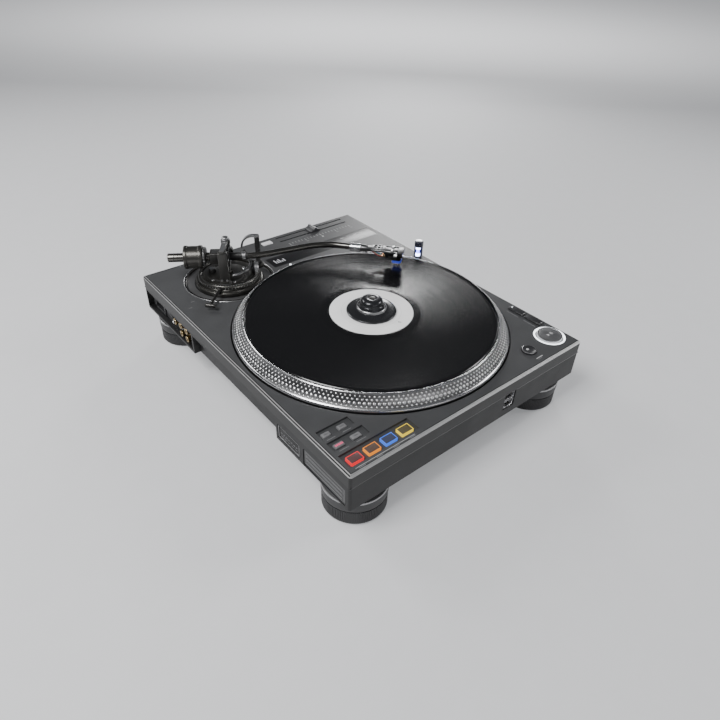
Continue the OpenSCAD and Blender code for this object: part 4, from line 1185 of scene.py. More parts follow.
@dataclass
class Turntable:
    """Platter with its strobe studs, slipmat, record, label, spindle and clamp.

    Attributes:
        rim: radius of the platter.
        rows: radius share along the slope, stud width and count of each strobe row.
    """
    rim: float = 167.6
    rows: tuple[tuple[float, float, int], ...] = ((0.13, 2.3, 200), (0.37, 3.6, 200), (0.63, 2.7, 200),
                                                  (0.86, 2.2, 200))

    def build(self) -> None:
        """Builds everything that turns."""
        self.platter()
        self.record()
        self.clamp()
        dress_node("rotor_magnet", DARK_METAL)
        dress_node("slipmat", Finish("slipmat_felt", (0.02, 0.02, 0.022), 0.0, 0.9, 3800, 0.0002, vary=0.3))
        at = shift(*SPINDLE)
        s = Shape("centre_spindle", at)
        s.revolve([(0, -33.5), (5, -33.5), (5, 12.4), (3.6, 12.4), (3.6, 27.4), (1.6, 28.9), (0, 29.0)],
                  BRIGHT_METAL, 48)
        s.build("turning", "spindle", slot="chrome")

    def platter(self) -> None:
        """Platter: turned rim, four rows of studs on the slope and two bright edges."""
        at = shift(*SPINDLE)
        centre = tuple(DECK @ Vector((SPINDLE[0], SPINDLE[1], 0)))
        slope = TurnedFinish("platter_slope", (0.24, 0.24, 0.242), 1.0, 0.36, 2200, 0.000006, centre=centre,
                             pitch=0.0007)
        polished = TurnedFinish("platter_edge", (0.62, 0.62, 0.63), 1.0, 0.2, 2200, 0.000003, centre=centre,
                                pitch=0.0005)
        side = TurnedFinish("platter_side", (0.13, 0.13, 0.132), 0.9, 0.36, 2200, 0.00001, centre=centre,
                            pitch=0.0011)
        s = Shape("strobe_platter", at)
        r, n = self.rim, 256
        s.revolve([(5, -2), (18, -2), (22, 6.4), (r - 7, 6.4), (r - 7, -2.8), (r - 0.6, -2.8), (r, -2.2),
                   (r, 1.2)], side, n)
        s.revolve([(r, 1.2), (r - 0.08, 2.0), (r - 0.6, 2.9), (r - 1.4, 3.7), (r - 2.0, 4.0)], polished, n)
        outer, inner = (r - 2.0, 3.85), (155.4, 14.4)
        s.revolve([(r - 2.0, 4.0), outer, inner, (155.4, 14.8)], slope, n)
        s.revolve([(155.4, 14.8), (154.8, 15.6), (154.2, 16.0), (153.6, 16.0), (153.4, 15.8), (153.4, 12.4)],
                  polished, n)
        s.revolve([(153.4, 12.4), (5, 12.4), (5, -2)], side, n)
        lean = math.degrees(math.atan2(outer[0] - inner[0], inner[1] - outer[1]))
        studs = Finish("strobe_studs", (0.7, 0.7, 0.71), 1.0, 0.3, 2200, 0.000003)
        for i, (share, width, count) in enumerate(self.rows):
            radius = outer[0] + share * (inner[0] - outer[0])
            height = outer[1] + share * (inner[1] - outer[1])
            s.array(Repeat(Stamp.DOME, count, (width, width * 0.9, 1.1), radius=radius, tilt=90 - lean,
                           start=(i % 2) * 0.9, origin=(0, 0, height)), studs)
        s.build("turning", "platter", slot="platter", sharp=50)

    def record(self) -> None:
        """Record with a raised lip and groove guard, and its white label."""
        low, high = cad_box("record")
        r = (high.x - low.x) / 2
        centre = tuple(DECK @ Vector((SPINDLE[0], SPINDLE[1], 0)))
        vinyl = VinylFinish("record_vinyl", (0.0045, 0.0045, 0.005), 0.0, 0.2, 1800, 0.000002, vary=0.05,
                            coat=0.0,
                            centre=centre, pitch=0.00042, depth=0.000008, stretch=0.82)
        s = Shape("lp_record", shift(*SPINDLE))
        z0, z1 = low.z, high.z
        s.revolve([(3.6, z0), (r - 0.9, z0), (r, z0 + 0.8), (r, z0 + 1.2), (r - 0.9, z1 - 0.02),
                   (r - 2.6, z1),
                   (r - 4.4, z1 - 0.25), (60, z1 - 0.25), (58, z1 - 0.12), (53, z1 - 0.1), (51.2, z1 - 0.1),
                   (50.9, z1 - 0.16), (3.6, z1 - 0.16)], vinyl, 256, None, True)
        s.build("turning", "record", slot="vinyl")
        low, high = cad_box("record_label")
        t = Shape("centre_label", shift(*SPINDLE))
        t.revolve([(3.6, low.z), (50.9, low.z), (51, high.z - 0.08), (50.6, high.z - 0.02),
                   (3.6, high.z - 0.02)],
                  PAPER, 160, None, True)
        t.ring(36.2, 36.5, high.z - 0.05, high.z, Finish("label_ring", (0.6, 0.6, 0.61), 0.0, 0.6), 0, 128)
        for x, y, w in ((37.5, -8.5, 5.0), (38.2, -10.3, 3.4)):
            t.box((x, y, high.z - 0.05), (x + w, y + 0.8, high.z), PRINT_DIM, 0, turn(-62))
        t.build("turning", "record_label", slot="paper")

    def clamp(self) -> None:
        """Record clamp: broad foot, two steps and a domed top."""
        low, high = cad_box("record_clamp")
        s = Shape("record_weight", shift(SPINDLE[0], SPINDLE[1], low.z))
        h = high.z - low.z
        body = Finish("clamp_black", (0.03, 0.031, 0.034), 0.55, 0.26, 2400, 0.000008, coat=0.2)
        s.revolve([(0, 14.6), (3.65, 14.6), (3.65, 0), (29.8, 0), (30.3, 0.4), (30.4, 1.2), (30.2, 2.0),
                   (29.3, 2.8),
                   (27, 3.2), (23, 3.9), (19.6, 4.6), (18.4, 5.2)], body, 128)
        s.revolve([(18.4, 5.2), (18.0, 5.8), (18.0, 6.8), (17.6, 7.4), (17.0, 7.8)], SATIN_METAL, 128)
        s.revolve([(17.0, 7.8), (16.4, 7.9), (16.0, 7.6), (15.4, 7.6), (15.0, 8.2), (14.8, 9.4), (14.4, 10.3),
                   (13.9, 10.8), (13.8, 11.4), (13.8, 12.8), (13.4, 14.6), (12.4, 16.4), (10.6, 17.6),
                   (8.0, 18.2),
                   (5.4, 18.3), (4.6, 18.0), (0, 18.0)], body, 128)
        s.revolve([(0, 18.0), (4.2, 18.0), (3.9, h - 0.1), (3.3, h), (0, h)], DARK_METAL, 64)
        s.array(Repeat(Stamp.RIB, 72, (0.5, 0.6, 1.8), radius=13.7, origin=(0, 0, 12.3)), body)
        s.build("clamp", "record_clamp", slot="clamp")


# ---------------------------------------------------------------- tonearm

@dataclass
class Tonearm:
    """S-shaped tonearm on its height-adjustable base.

    Attributes:
        height: height of the tilt axis above the deck.
        heading: direction of the tube seen from above, in degrees.
        yoke_dir: direction the yoke faces, in degrees.
        slope: rise of the tube towards the headshell, in degrees.
        offset: angle between tube and headshell, in degrees.
        tube_r: radius of the tube.
    """
    height: float = 33.0
    heading: float = -33.0
    yoke_dir: float = -37.0
    slope: float = 0.35
    offset: float = 18.0
    tube_r: float = 4.2
    bend: tuple[float, float, float, float] = (24.0, 100.0, 19.0, 75.0)
    yoke_paint: Finish = Finish("yoke_satin", (0.05, 0.049, 0.046), 0.6, 0.34, 2600, 0.000012)
    straights: Point = (50.7, 13.5)

    def __post_init__(self) -> None:
        """Works out the arm's frames and the end of its tube."""
        self.pivot = shift(PIVOT[0], PIVOT[1])
        self.swing = self.pivot @ shift(0, 0, self.height) @ turn(self.heading)
        self.arm = self.swing @ turn(-self.slope, "Y")
        self.path = self.centre_line()
        end = self.path[-1]
        self.shell = self.arm @ shift(end[0], end[1]) @ turn(-self.offset)

    def centre_line(self) -> list[Point3]:
        """The tube's centre line in the arm's frame."""
        x0, r1, a1, r2 = self.bend
        out: list[Point3] = [(-2.0, 0.0, 0.0), (x0 - 6, 0.0, 0.0)]
        for k in range(13):
            a = math.radians(a1 * k / 12)
            out.append((x0 + r1 * math.sin(a), r1 * (1 - math.cos(a)), 0.0))
        a = math.radians(a1)
        x, y = out[-1][0] + self.straights[0] * math.cos(a), out[-1][1] + self.straights[0] * math.sin(a)
        cx, cy = x + r2 * math.sin(a), y - r2 * math.cos(a)
        for k in range(21):
            t = math.radians(90 + a1 - (a1 + self.offset) * k / 20)
            out.append((cx + r2 * math.cos(t), cy + r2 * math.sin(t), 0.0))
        b = math.radians(self.offset)
        out.append((out[-1][0] + self.straights[1] * math.cos(b),
                    out[-1][1] - self.straights[1] * math.sin(b), 0.0))
        return out

    def build(self) -> None:
        """Builds the whole tonearm."""
        self.base()
        self.ring()
        self.small_parts()
        self.yoke()
        self.gimbal()
        self.tube()
        self.weight()
        self.headshell()
        self.cartridge()

    def base(self) -> None:
        """Turned base with a recessed deck, and the arm rest that stands on its lobe."""
        top = 10.0
        s = Shape("tonearm_base", self.pivot)
        s.revolve([(3.05, 7), (6, 6), (6, -14), (20, -14), (20, -2.7), (40.2, -2.7), (40.8, -2.2),
                   (40.8, 4.4),
                   (40.5, 4.7), (40.5, 5.1), (40.8, 5.4), (40.8, top - 1.6), (40.5, top - 0.6), (39.9, top),
                   (37.4, top), (36.9, top - 0.2), (36.5, top - 0.8), (36.5, 7.8), (34.2, 7.8), (34.0, 8.0),
                   (34.0, 9.0), (33.7, 9.2), (24.5, 9.2), (24.2, 9.05), (23.9, 9.2), (6.2, 9.2), (6, 9.4),
                   (6, 12.6),
                   (5.7, 13), (3.05, 13)], BRONZE, 160, None, True)
        s.array(Repeat(Stamp.RIB, 60, (0.3, 0.45, 1.6), radius=40.75, origin=(0, 0, 7.0)), PRINT)
        s.array(Repeat(Stamp.RIB, 25, (2.0, 0.35, 0.08), radius=38.7, start=-150, span=120,
                       origin=(0, 0, top)), PRINT)
        s.prism([(38, -7), (48, -7), (52, -5), (54, 0), (52, 6), (48, 8.6), (38, 7)], 4.3, 8.0, BRONZE, 0.5)
        dial = turn(-30)
        s.box((30, -5, 7.2), (34.2, 5, 18), BLACK_METAL, 0.8, dial)
        s.disc(2.2, 34.1, 34.5, SATIN_METAL, 0.1, 24, dial @ shift(0, 0, 13) @ LEVEL_X)
        for angle in (75, 195, 255):
            at = turn(angle) @ shift(29, 0, 9.2)
            s.revolve(rounded([(0, -0.2), (1.9, -0.2), (1.9, 0.9), (1.4, 1.3), (0, 1.3)], 0.3, 3),
                      SATIN_METAL, 24, at)
            s.box((-1.3, -0.3, 1.2), (1.3, 0.3, 1.33), BLACK_CASE, 0, at)
        s.build("base", "arm_base", slot="bronze")
        rest = turn(2) @ shift(47, 0)
        t = Shape("arm_rest_post", self.pivot @ rest)
        t.revolve(rounded([(0, 8.0), (4.4, 8.0), (4.4, 12), (3.4, 12.6), (3.4, 24), (3.0, 24.6), (3.0, 28.6),
                           (3.4, 29.2), (3.4, 46.6), (2, 46.6), (2, 49.6), (0, 49.6)], 0.3, 3), BLACK_METAL,
                           48)
        t.array(Repeat(Stamp.RIB, 30, (0.3, 0.35, 14), radius=3.3, origin=(0, 0, 38)), BLACK_METAL)
        t.prism([(-2, -14), (2, -14), (2, -2), (-2, -2)], 25.5, 27.5, BLACK_METAL, 0.4)
        t.box((-2, -4.4, 25.5), (2, -2.4, 30.5), BLACK_METAL, 0.4)
        t.box((-1.7, -13.6, 27.4), (1.7, -5, 27.75), RUBBER, 0.1)
        t.build("base", "arm_rest", slot="black_metal")

    def ring(self) -> None:
        """Height ring with its engraved scale and T-shaped handle."""
        s = Shape("height_ring_turned", self.pivot)
        s.revolve(rounded([(41.1, -2.8), (44.8, -2.8), (44.8, 1.6), (44.3, 2.2), (43.2, 2.4), (42.9, 4.0),
                           (41.1, 4.0)],
                          0.35, 3, True), BRONZE, 160, None, True)
        s.array(Repeat(Stamp.RIB, 90, (0.3, 0.5, 2.6), radius=44.7, origin=(0, 0, -0.4)), BRONZE)
        handle = turn(-135.5)
        s.revolve(rounded([(0, 2.2), (2.6, 2.2), (2.6, 9.6), (1.9, 10.2), (0, 10.2)], 0.4, 3), DARK_METAL, 32,
                  handle @ shift(43.5, 0))
        s.tube([(43, 0, 7.2), (60, 0, 7.2), (80, 0, 7.2)], 1.8, DARK_METAL, 24, handle)
        s.revolve(rounded([(0, 78.5), (2.4, 78.5), (2.8, 79.3), (2.8, 82), (0, 82)], 0.3, 3), DARK_METAL, 32,
                  handle @ shift(0, 0, 7.2) @ LEVEL_X)
        bar = [(0, -6.5), (1.7, -6.5), (2.4, -5.7), (2.6, -4.6), (2.6, 4.6), (2.4, 5.7), (1.7, 6.5), (0, 6.5)]
        s.revolve(rounded(bar, 0.5, 3), DARK_METAL, 40, handle @ shift(82.3, 0, 7.2) @ turn(90, "X"))
        s.build("ring", "height_ring", slot="bronze")

    def small_parts(self) -> None:
        """Lock knob, rest clip, cue lever, lift platform and bias dial."""
        s = Shape("height_lock", self.pivot @ turn(142) @ shift(22, 0))
        s.revolve(rounded([(0, 9.5), (5, 9.5), (5, 13.9), (4.2, 14.6), (0, 14.6)], 0.4, 3), BLACK_METAL, 48)
        s.array(Repeat(Stamp.RIB, 30, (0.3, 0.5, 3.4), radius=4.9, origin=(0, 0, 11.8)), BLACK_METAL)
        s.disc(3.7, 14.5, 15.0, SATIN_METAL, 0.2, 40)
        s.build("lock", "height_lock_knob", slot="black_metal")

        c = Shape("rest_hook", self.pivot @ turn(2) @ shift(47, 0) @ turn(-42))
        c.revolve(rounded([(2.05, 47), (3.6, 47), (3.6, 50), (0, 50), (0, 49.7), (2.05, 49.7)], 0.3, 3),
                  SATIN_METAL, 40)
        sweep = [math.radians(a) for a in range(90, 181, 6)]
        blade = [(-4.2 + 18.0 * math.cos(a), 32 + 18.0 * math.sin(a)) for a in sweep]
        blade += [(-4.2 + 15.7 * math.cos(a), 32 + 15.7 * math.sin(a)) for a in reversed(sweep)]
        c.prism(blade, -3.2, 3.2, SATIN_METAL, 0, turn(90, "X"))
        c.box((-5.2, -3.2, 47.7), (-1.0, 3.2, 50), SATIN_METAL, 0.3)
        c.build("clip", "rest_clip", slot="satin_grey")

        lever = Shape("cueing_lever", self.pivot @ turn(60) @ shift(32, 0, 14) @ turn(-50))
        lever.revolve(rounded([(0, -4), (3, -4), (3, 4), (0, 4)], 0.5, 3), BLACK_METAL, 40, turn(90, "X"))
        lever.tube([(1, 0, 0), (12, 0, 0), (22, 0, 0)], 1.6, SATIN_METAL, 24)
        grip = rounded([(0, 21), (2.2, 21), (3.0, 22.4), (2.7, 25.6), (3.0, 28), (2.2, 29), (0, 29)], 0.6, 3)
        lever.revolve(grip, BLACK_METAL, 32, LEVEL_X)
        lever.build("lever", "cue_lever", slot="black_metal")

        lift = Shape("lift_bar", self.pivot)
        arc = [math.radians(a) for a in range(-108, 5, 4)]
        for r0, r1, z0, z1, finish in ((28.0, 31.0, 19.5, 22.1, SATIN_METAL),
                                       (28.5, 30.5, 22.0, 22.5, RUBBER)):
            outline = [(r1 * math.cos(a), r1 * math.sin(a)) for a in arc]
            outline += [(r0 * math.cos(a), r0 * math.sin(a)) for a in reversed(arc)]
            lift.prism(outline, z0, z1, finish, 0)
        post = turn(-62)
        lift.box((26.5, -4, 13), (28.02, 4, 22), SATIN_METAL, 0.4, post)
        lift.revolve(rounded([(0, 9.5), (2.6, 9.5), (2.6, 21.4), (2.0, 22), (0, 22)], 0.4, 3), BRIGHT_METAL,
                     32,
                     post @ shift(24, 0))
        lift.disc(1.5, 27.9, 28.4, BRIGHT_METAL, 0.2, 24, post @ shift(0, 0, 18) @ LEVEL_X)
        lift.build("lift", "lift_platform", slot="satin_grey")

        dial = Shape("bias_dial", self.pivot @ turn(-30) @ shift(0, 0, 13) @ LEVEL_X)
        dial.revolve([(0, 34.5), (9.7, 34.5), (10, 34.8), (10, 35.8), (9.7, 36.1), (8.9, 36.1), (8.6, 36.4),
                      (8.6, 38.6),
                      (8.1, 39.3), (7.4, 39.5), (0, 39.5)], SATIN_METAL, 72)
        dial.array(Repeat(Stamp.RIB, 48, (0.35, 0.45, 2.2), radius=8.5, origin=(0, 0, 37.4)), SATIN_METAL)
        dial.array(Repeat(Stamp.RIB, 9, (1.0, 0.3, 0.1), radius=9.35, start=0, span=270, origin=(0, 0, 36.1)),
                   BLACK_CASE)
        dial.ring(5.0, 5.4, 39.45, 39.55, BLACK_CASE, 0, 48)
        dial.build("bias", "antiskate_dial", slot="satin_grey")

    def yoke(self) -> None:
        """Bridge over the pivot: a broad leg, a slim beam and the bearing cap."""
        s = Shape("yoke_bridge", self.pivot @ turn(self.yoke_dir))
        leg = [(-5.8, -35), (5.8, -35), (5.8, -27), (-5.8, -27)]
        s.prism(leg, 9.2, 54, self.yoke_paint, 0.9)
        s.box((-3.7, -35, 52), (3.7, 2, 57), self.yoke_paint, 0.8)
        # Satin strip on the beam's top face: a painted highlight, the top lighter than the sides because of how
        # the light falls.
        s.box((-2.9, -34.2, 56.9), (2.9, -6, 57.05), SATIN_METAL, 0)
        s.revolve(rounded([(0, 52), (6, 52), (6, 57), (0, 57)], 0.6, 3), BLACK_METAL, 64)
        s.revolve([(4.9, 56.9), (4.9, 57.6), (4.4, 58.0), (4.4, 59.8), (4.1, 60.4), (3.4, 60.9), (2.2, 61.05),
                   (0, 61.05)],
                  SATIN_METAL, 48)
        s.box((-3.0, -0.35, 61.0), (3.0, 0.35, 61.08), BLACK_CASE, 0)
        s.box((-7.2, -36, 9.2), (7.2, -26, 11), BLACK_METAL, 0.5)
        for x in (-3.4, 3.4):
            at = shift(x, -35.02, 16) @ turn(90, "X")
            s.revolve(rounded([(0, -0.3), (1.6, -0.3), (1.6, 0.0), (0, 0.02)], 0.1, 2), SATIN_METAL, 20, at)
        s.build("base", "yoke", slot="black_metal")

    def gimbal(self) -> None:
        """Swinging frame with its side block and upright pins."""
        s = Shape("gimbal_frame", self.swing)
        for low, high in (((-4, -13, -15), (4, -8, 15)), ((-4, 8, -15), (4, 13, 15)),
                          ((-4, -9, 9.8), (4, 9, 15)),
                          ((-4, -9, -15), (4, 9, -9.8))):
            s.box(low, high, BLACK_METAL, 0.6)
        s.revolve(rounded([(0, 12), (7, 12), (7, 19.4), (6.4, 20), (0, 20)], 0.5, 3), DARK_METAL, 48,
                  turn(-90, "X"))
        s.ring(4.6, 5.1, 19.9, 20.04, BLACK_CASE, 0, 32, turn(-90, "X"))
        s.revolve(rounded([(0, 12.9), (3.4, 12.9), (3.4, 13.4), (2.8, 13.6), (0, 13.6)], 0.1, 2), SATIN_METAL,
                  32,
                  turn(90, "X"))
        s.disc(3, -26, -15, BRIGHT_METAL, 0.2, 32)
        s.disc(2, 15, 22, BRIGHT_METAL, 0.2, 32)
        s.revolve(rounded([(0, 14.9), (5.4, 14.9), (5.4, 17.4), (4.8, 18), (0, 18)], 0.4, 3), BLACK_METAL, 48)
        s.build("swing", "gimbal", slot="black_metal")

    def tube(self) -> None:
        """S-shaped tube with its collar and tilt block, and the stub behind the pivot."""
        s = Shape("s_tube", self.arm)
        tube = Finish("tube_satin", (0.12, 0.117, 0.11), 0.95, 0.22, 2400, 0.000006)
        s.tube(self.path, self.tube_r, tube, 48)
        collar = rounded([(0, -8), (4.2, -8), (5, -7.2), (5, 18.6), (5.5, 19.5), (5.5, 24), (5, 24.5),
                          (5, 27), (4.3, 27.5),
                          (0, 27.5)], 0.3, 3)
        s.revolve(collar, BLACK_METAL, 64, LEVEL_X)
        s.revolve([(5.02, 19.2), (5.52, 19.5), (5.52, 24.0), (5.02, 24.3)], SATIN_METAL, 64, LEVEL_X)
        s.box((-22, -8, -7.5), (-6.5, 8, 7.5), DARK_METAL, 1.0)
        s.box((-19.5, -5.5, 7.3), (-9, 5.5, 7.56), BLACK_METAL, 0.1)
        s.revolve(rounded([(0, -11.5), (2, -11.5), (2, 11.5), (0, 11.5)], 0.3, 2), BRIGHT_METAL, 32,
                  turn(90, "X"))
        s.build("arm", "arm_tube", slot="tube")
        t = Shape("weight_stub", self.arm)
        t.revolve(rounded([(0, -76.3), (5.0, -76.3), (5.8, -75.6), (5.8, -22), (0, -22)], 0.35, 3), tube, 64,
                  LEVEL_X)
        t.ring(5.6, 5.83, -68.5, -67.8, BLACK_METAL, 0.05, 48, LEVEL_X)
        t.build("arm", "rear_stub", slot="tube")

    def weight(self) -> None:
        """Counterweight with raised, knurled end bands, and the force dial in front of it."""
        s = Shape("balance_weight", self.arm)
        a, b, r = -54.8, -31.0, 15.2
        weight = Finish("weight_satin", (0.09, 0.087, 0.081), 0.9, 0.32, 2400, 0.000008)
        s.revolve([(5.85, a + 0.4), (6.6, a), (9.5, a), (9.8, a + 0.35), (12.6, a + 0.35), (12.9, a),
                   (r - 0.9, a),
                   (r - 0.25, a + 0.25), (r, a + 0.9), (r, a + 4.2), (r - 0.25, a + 4.7), (r - 0.6, a + 4.9),
                   (r - 0.6, b - 5.5), (r - 0.25, b - 5.3), (r, b - 4.8), (r, b - 0.9), (r - 0.25, b - 0.25),
                   (r - 0.9, b), (7.4, b), (7.4, b + 4.4), (5.85, b + 4.4)], weight, 128, LEVEL_X, True)
        for x in (a + 2.5, b - 2.8):
            s.array(Repeat(Stamp.RIB, 96, (0.3, 0.45, 2.6), radius=r - 0.1, origin=(0, 0, x)), weight,
                    LEVEL_X)
        s.build("weight", "counterweight", slot="bronze")
        t = Shape("force_ring", self.arm)
        t.revolve(rounded([(7.45, b + 0.1), (13, b + 0.1), (13, b + 3.4), (12.2, b + 4.2), (7.45, b + 4.2)],
                          0.35, 3, True),
                  BLACK_METAL, 96, LEVEL_X, True)
        t.array(Repeat(Stamp.RIB, 40, (0.1, 0.3, 1.4), radius=12.98, origin=(0, 0, b + 1.6)), PRINT, LEVEL_X)
        t.array(Repeat(Stamp.RIB, 8, (0.1, 0.5, 2.3), radius=13.0, origin=(0, 0, b + 1.9)), PRINT, LEVEL_X)
        t.build("force", "force_dial", slot="black_metal")

    def headshell(self) -> None:
        """Locking collar, and the slotted headshell with its screws and finger lift."""
        c = Shape("lock_collar", self.shell)
        c.revolve([(4.25, -0.0), (5.0, 0.0), (5.3, 0.4), (5.3, 2.2), (5.1, 2.4), (5.1, 2.8), (5.3, 3.0),
                   (5.3, 10.6),
                   (5.8, 11.2), (5.8, 14.5), (5.4, 15), (3.2, 15), (3.2, 5.3), (4.25, 5.3)], BRIGHT_METAL, 64,
                   LEVEL_X, True)
        c.array(Repeat(Stamp.RIB, 36, (0.3, 0.45, 6.0), radius=5.25, origin=(0, 0, 7)), BRIGHT_METAL, LEVEL_X)
        c.build("collar", "locking_collar", slot="chrome")

        x0, x1, top, half = 15.0, 75.0, 3.2, 9.5
        s = Shape("slotted_headshell", self.shell)
        shell = Finish("shell_satin", (0.09, 0.09, 0.092), 0.85, 0.3, 2400, 0.00001)
        s.revolve(rounded([(0, 6), (3, 6), (3, x0 + 0.1), (5, x0 + 0.1), (5, x0 + 8.4), (4.2, x0 + 9),
                           (0, x0 + 9)], 0.3, 3),
                  shell, 48, LEVEL_X)
        s.box((x0 + 5, -4.4, top - 5), (x0 + 16, 4.4, top), shell, 0.8)
        self.perforated_plate(s, shell, x0 + 14, x1, half, top)
        for y in (-6, 6):
            at = shift(x1 - 16, y, top)
            s.revolve(rounded([(0, -0.1), (2, -0.1), (2, 1.0), (1.5, 1.4), (0, 1.4)], 0.3, 3), BRIGHT_METAL,
                      24, at)
            s.box((-1.5, -0.3, 1.35), (1.5, 0.3, 1.43), BLACK_CASE, 0, at @ turn(35))
        s.tube([(x1 - 9.7, -half + 1, top - 0.7), (x1 - 9.7, -half - 5, top - 0.7),
                (x1 - 9.7, -half - 9, top - 0.3),
                (x1 - 9.7, -half - 13, top + 0.8)], 0.9, SATIN_METAL, 16)
        s.box((x1 - 12, -half - 13, top - 0.1), (x1 - 7.5, -half - 7, top + 1.1), SATIN_METAL, 0.4)
        s.build("arm", "headshell", slot="shell")

    def perforated_plate(self, s: Shape, finish: Finish, x0: float, x1: float, half: float,
                         top: float) -> None:
        """Plate built of bars round its slots and round holes, with a turned-down edge.

        Args:
            s: shape that takes the plate.
            finish: its finish.
            x0: rear end.
            x1: front end.
            half: half its width.
            top: height of its upper face.
        """
        low = top - 1.6
        s.prism([(x0, -half + 3), (x0 + 3, -half), (x1 - 30, -half), (x1 - 30, -7.6), (x0 + 3, -7.6)], low,
                top, finish, 0.3)
        s.prism([(x0 + 3, 7.6), (x1 - 30, 7.6), (x1 - 30, half), (x0 + 3, half), (x0, half - 3)], low, top,
                finish, 0.3)
        s.box((x0, -half + 2, low), (x0 + 4, half - 2, top), finish, 0.4)
        s.box((x0 + 3, -4.6, low), (x1 - 30, -2.4, top), finish, 0.3)
        s.box((x0 + 3, 2.4, low), (x1 - 30, 4.6, top), finish, 0.3)
        for k in range(4):
            s.box((x0 + 3 + 5.2 * k - 1.0, -half + 0.6, low), (x0 + 3 + 5.2 * k + 1.2, half - 0.6, top - 0.1),
                  finish, 0.3)
        s.box((x1 - 31, -half, low), (x1 - 27.5, half, top), finish, 0.4)
        for y0, y1 in ((-half, -7.3), (-4.7, 4.7), (7.3, half)):
            s.box((x1 - 28, y0, low), (x1 - 8.6, y1, top), finish, 0.3)
        s.prism([(x1 - 9, -half), (x1 - 3, -half), (x1, -half + 3), (x1, half - 3), (x1 - 3, half),
                 (x1 - 9, half)],
                low, top, finish, 0.4)

    def cartridge(self) -> None:
        """Cartridge body with pins and wires, and its blue stylus assembly."""
        x1, top = 75.0, 1.6
        s = Shape("phono_cartridge", self.shell)
        s.box((x1 - 27, -8.5, top - 3.4), (x1 - 6.5, 8.5, top), BLACK_GLOSS, 0.6)
        side = [(x1 - 26, top - 3.2), (x1 - 2.6, top - 3.2), (x1 - 2.0, top - 5), (x1 - 3.4, top - 11),
                (x1 - 6, top - 12.5),
                (x1 - 24, top - 12.5), (x1 - 26, top - 10.5)]
        s.prism([(x, -z) for x, z in side], -5.5, 5.5, BLACK_GLOSS, 0.5, turn(-90, "X"))
        s.box((x1 - 21, -5.55, top - 9.4), (x1 - 9, 5.55, top - 6.0), DARK_METAL, 0.2)
        wires = (Finish("wire_red", (0.5, 0.04, 0.03), 0.0, 0.4), KEY_WHITE,
                 Finish("wire_green", (0.04, 0.3, 0.08), 0.0, 0.4),
                 Finish("wire_blue", (0.04, 0.1, 0.5), 0.0, 0.4))
        for y, wire in zip((-3.6, -1.2, 1.2, 3.6), wires):
            s.revolve([(0, x1 - 30.8), (0.6, x1 - 30.8), (0.6, x1 - 26), (0, x1 - 26)], GOLD, 16,
                      shift(0, y, top - 8) @ LEVEL_X)
            s.revolve([(0, x1 - 30.9), (0.95, x1 - 30.9), (0.95, x1 - 28), (0, x1 - 28)], COPPER, 16,
                      shift(0, y, top - 8) @ LEVEL_X)
            s.tube([(x1 - 30.5, y, top - 8), (x1 - 34, y, top - 8.3), (x1 - 38, y * 0.8, top - 7),
                    (x1 - 42, y * 0.6, top - 4.6),
                    (x1 - 46, y * 0.5, top - 2.6), (x1 - 50, y * 0.5, top - 1.4)], 0.45, wire, 10)
        s.build("arm", "cartridge", slot="cartridge")
        low, _ = cad_box("stylus")
        base = top - 12.5
        t = Shape("stylus_grip", self.shell)
        # The stylus grip is no lamp: its faint blue glow is painted light, a painted highlight that keeps the
        # dark blue grip visible.
        blue = Finish("stylus_blue_painted_glow", (0.03, 0.06, 0.5), 0.0, 0.2, coat=0.4, glow=(0.1, 0.14, 1.0), power=0.25)
        side = [(x1 - 16, base), (x1 - 3, base), (x1 - 3.6, base - 2.6), (x1 - 6.0, base - 4.2),
                (x1 - 15, base - 4.2),
                (x1 - 16, base - 2)]
        t.prism([(x, -z) for x, z in side], -4.2, 4.2, blue, 0.4, turn(-90, "X"))
        drop = self.stylus_drop(low.z)
        t.revolve([(0, -drop), (0.3, -drop + 0.2), (0.7, base - 4.0), (0, base - 4.0)], SATIN_METAL, 16,
                  shift(x1 - 8, 0))
        t.build("arm", "stylus", slot="stylus")

    def stylus_drop(self, tip_z: float) -> float:
        """Distance from the arm's plane down to the tip, for a tip at a given height."""
        foot = self.shell @ Vector((67.0, 0.0, 0.0))
        return (foot.z - tip_z) / math.cos(math.radians(self.slope))


# ---------------------------------------------------------------- feet

@dataclass
class Feet:
    """Four damped feet with a knurled grip band.

    Attributes:
        radius: radius of the foot's top ring.
        floor: the floor, below the deck.
        ribs: ribs of the knurl.
    """
    radius: float = 35.5
    floor: float = -88.0
    ribs: int = 110

    def build(self) -> None:
        """Builds each foot on its own body."""
        for name in ("fl", "fr", "bl", "br"):
            low, high = cad_box(f"foot_{name}")
            c = (low + high) / 2
            s = Shape(f"damped_{name}", shift(c.x, c.y))
            r, f = self.radius, self.floor
            ring = Finish("foot_ring", (0.4, 0.4, 0.405), 0.85, 0.3, 2400, 0.00002)
            s.revolve([(0, f), (r - 3.2, f), (r - 2.2, f + 0.5), (r - 1.7, f + 1.6), (r - 1.7, -69.4),
                       (r - 1.2, -68.8),
                       (r - 0.7, -68.2), (r - 0.4, -66), (r - 0.15, -58.3), (r - 0.15, -57.4)], RUBBER, 160)
            s.revolve([(r - 0.15, -57.4), (r, -57.0), (r, -55.9), (r - 0.4, -55.3), (r - 1.2, -55.0),
                       (r - 2.8, -55.0)],
                      ring, 160)
            s.revolve([(r - 2.8, -55.0), (r - 5, -52.5), (4, -52.5), (4, -25), (0, -25)], RUBBER, 96)
            s.array(Repeat(Stamp.RIB, self.ribs, (1.4, 1.25, 16.0), radius=r - 1.6, origin=(0, 0, -78.0)),
                    RUBBER)
            s.build(f"foot_{name}", f"foot_{name}", slot="rubber")


# ---------------------------------------------------------------- studio

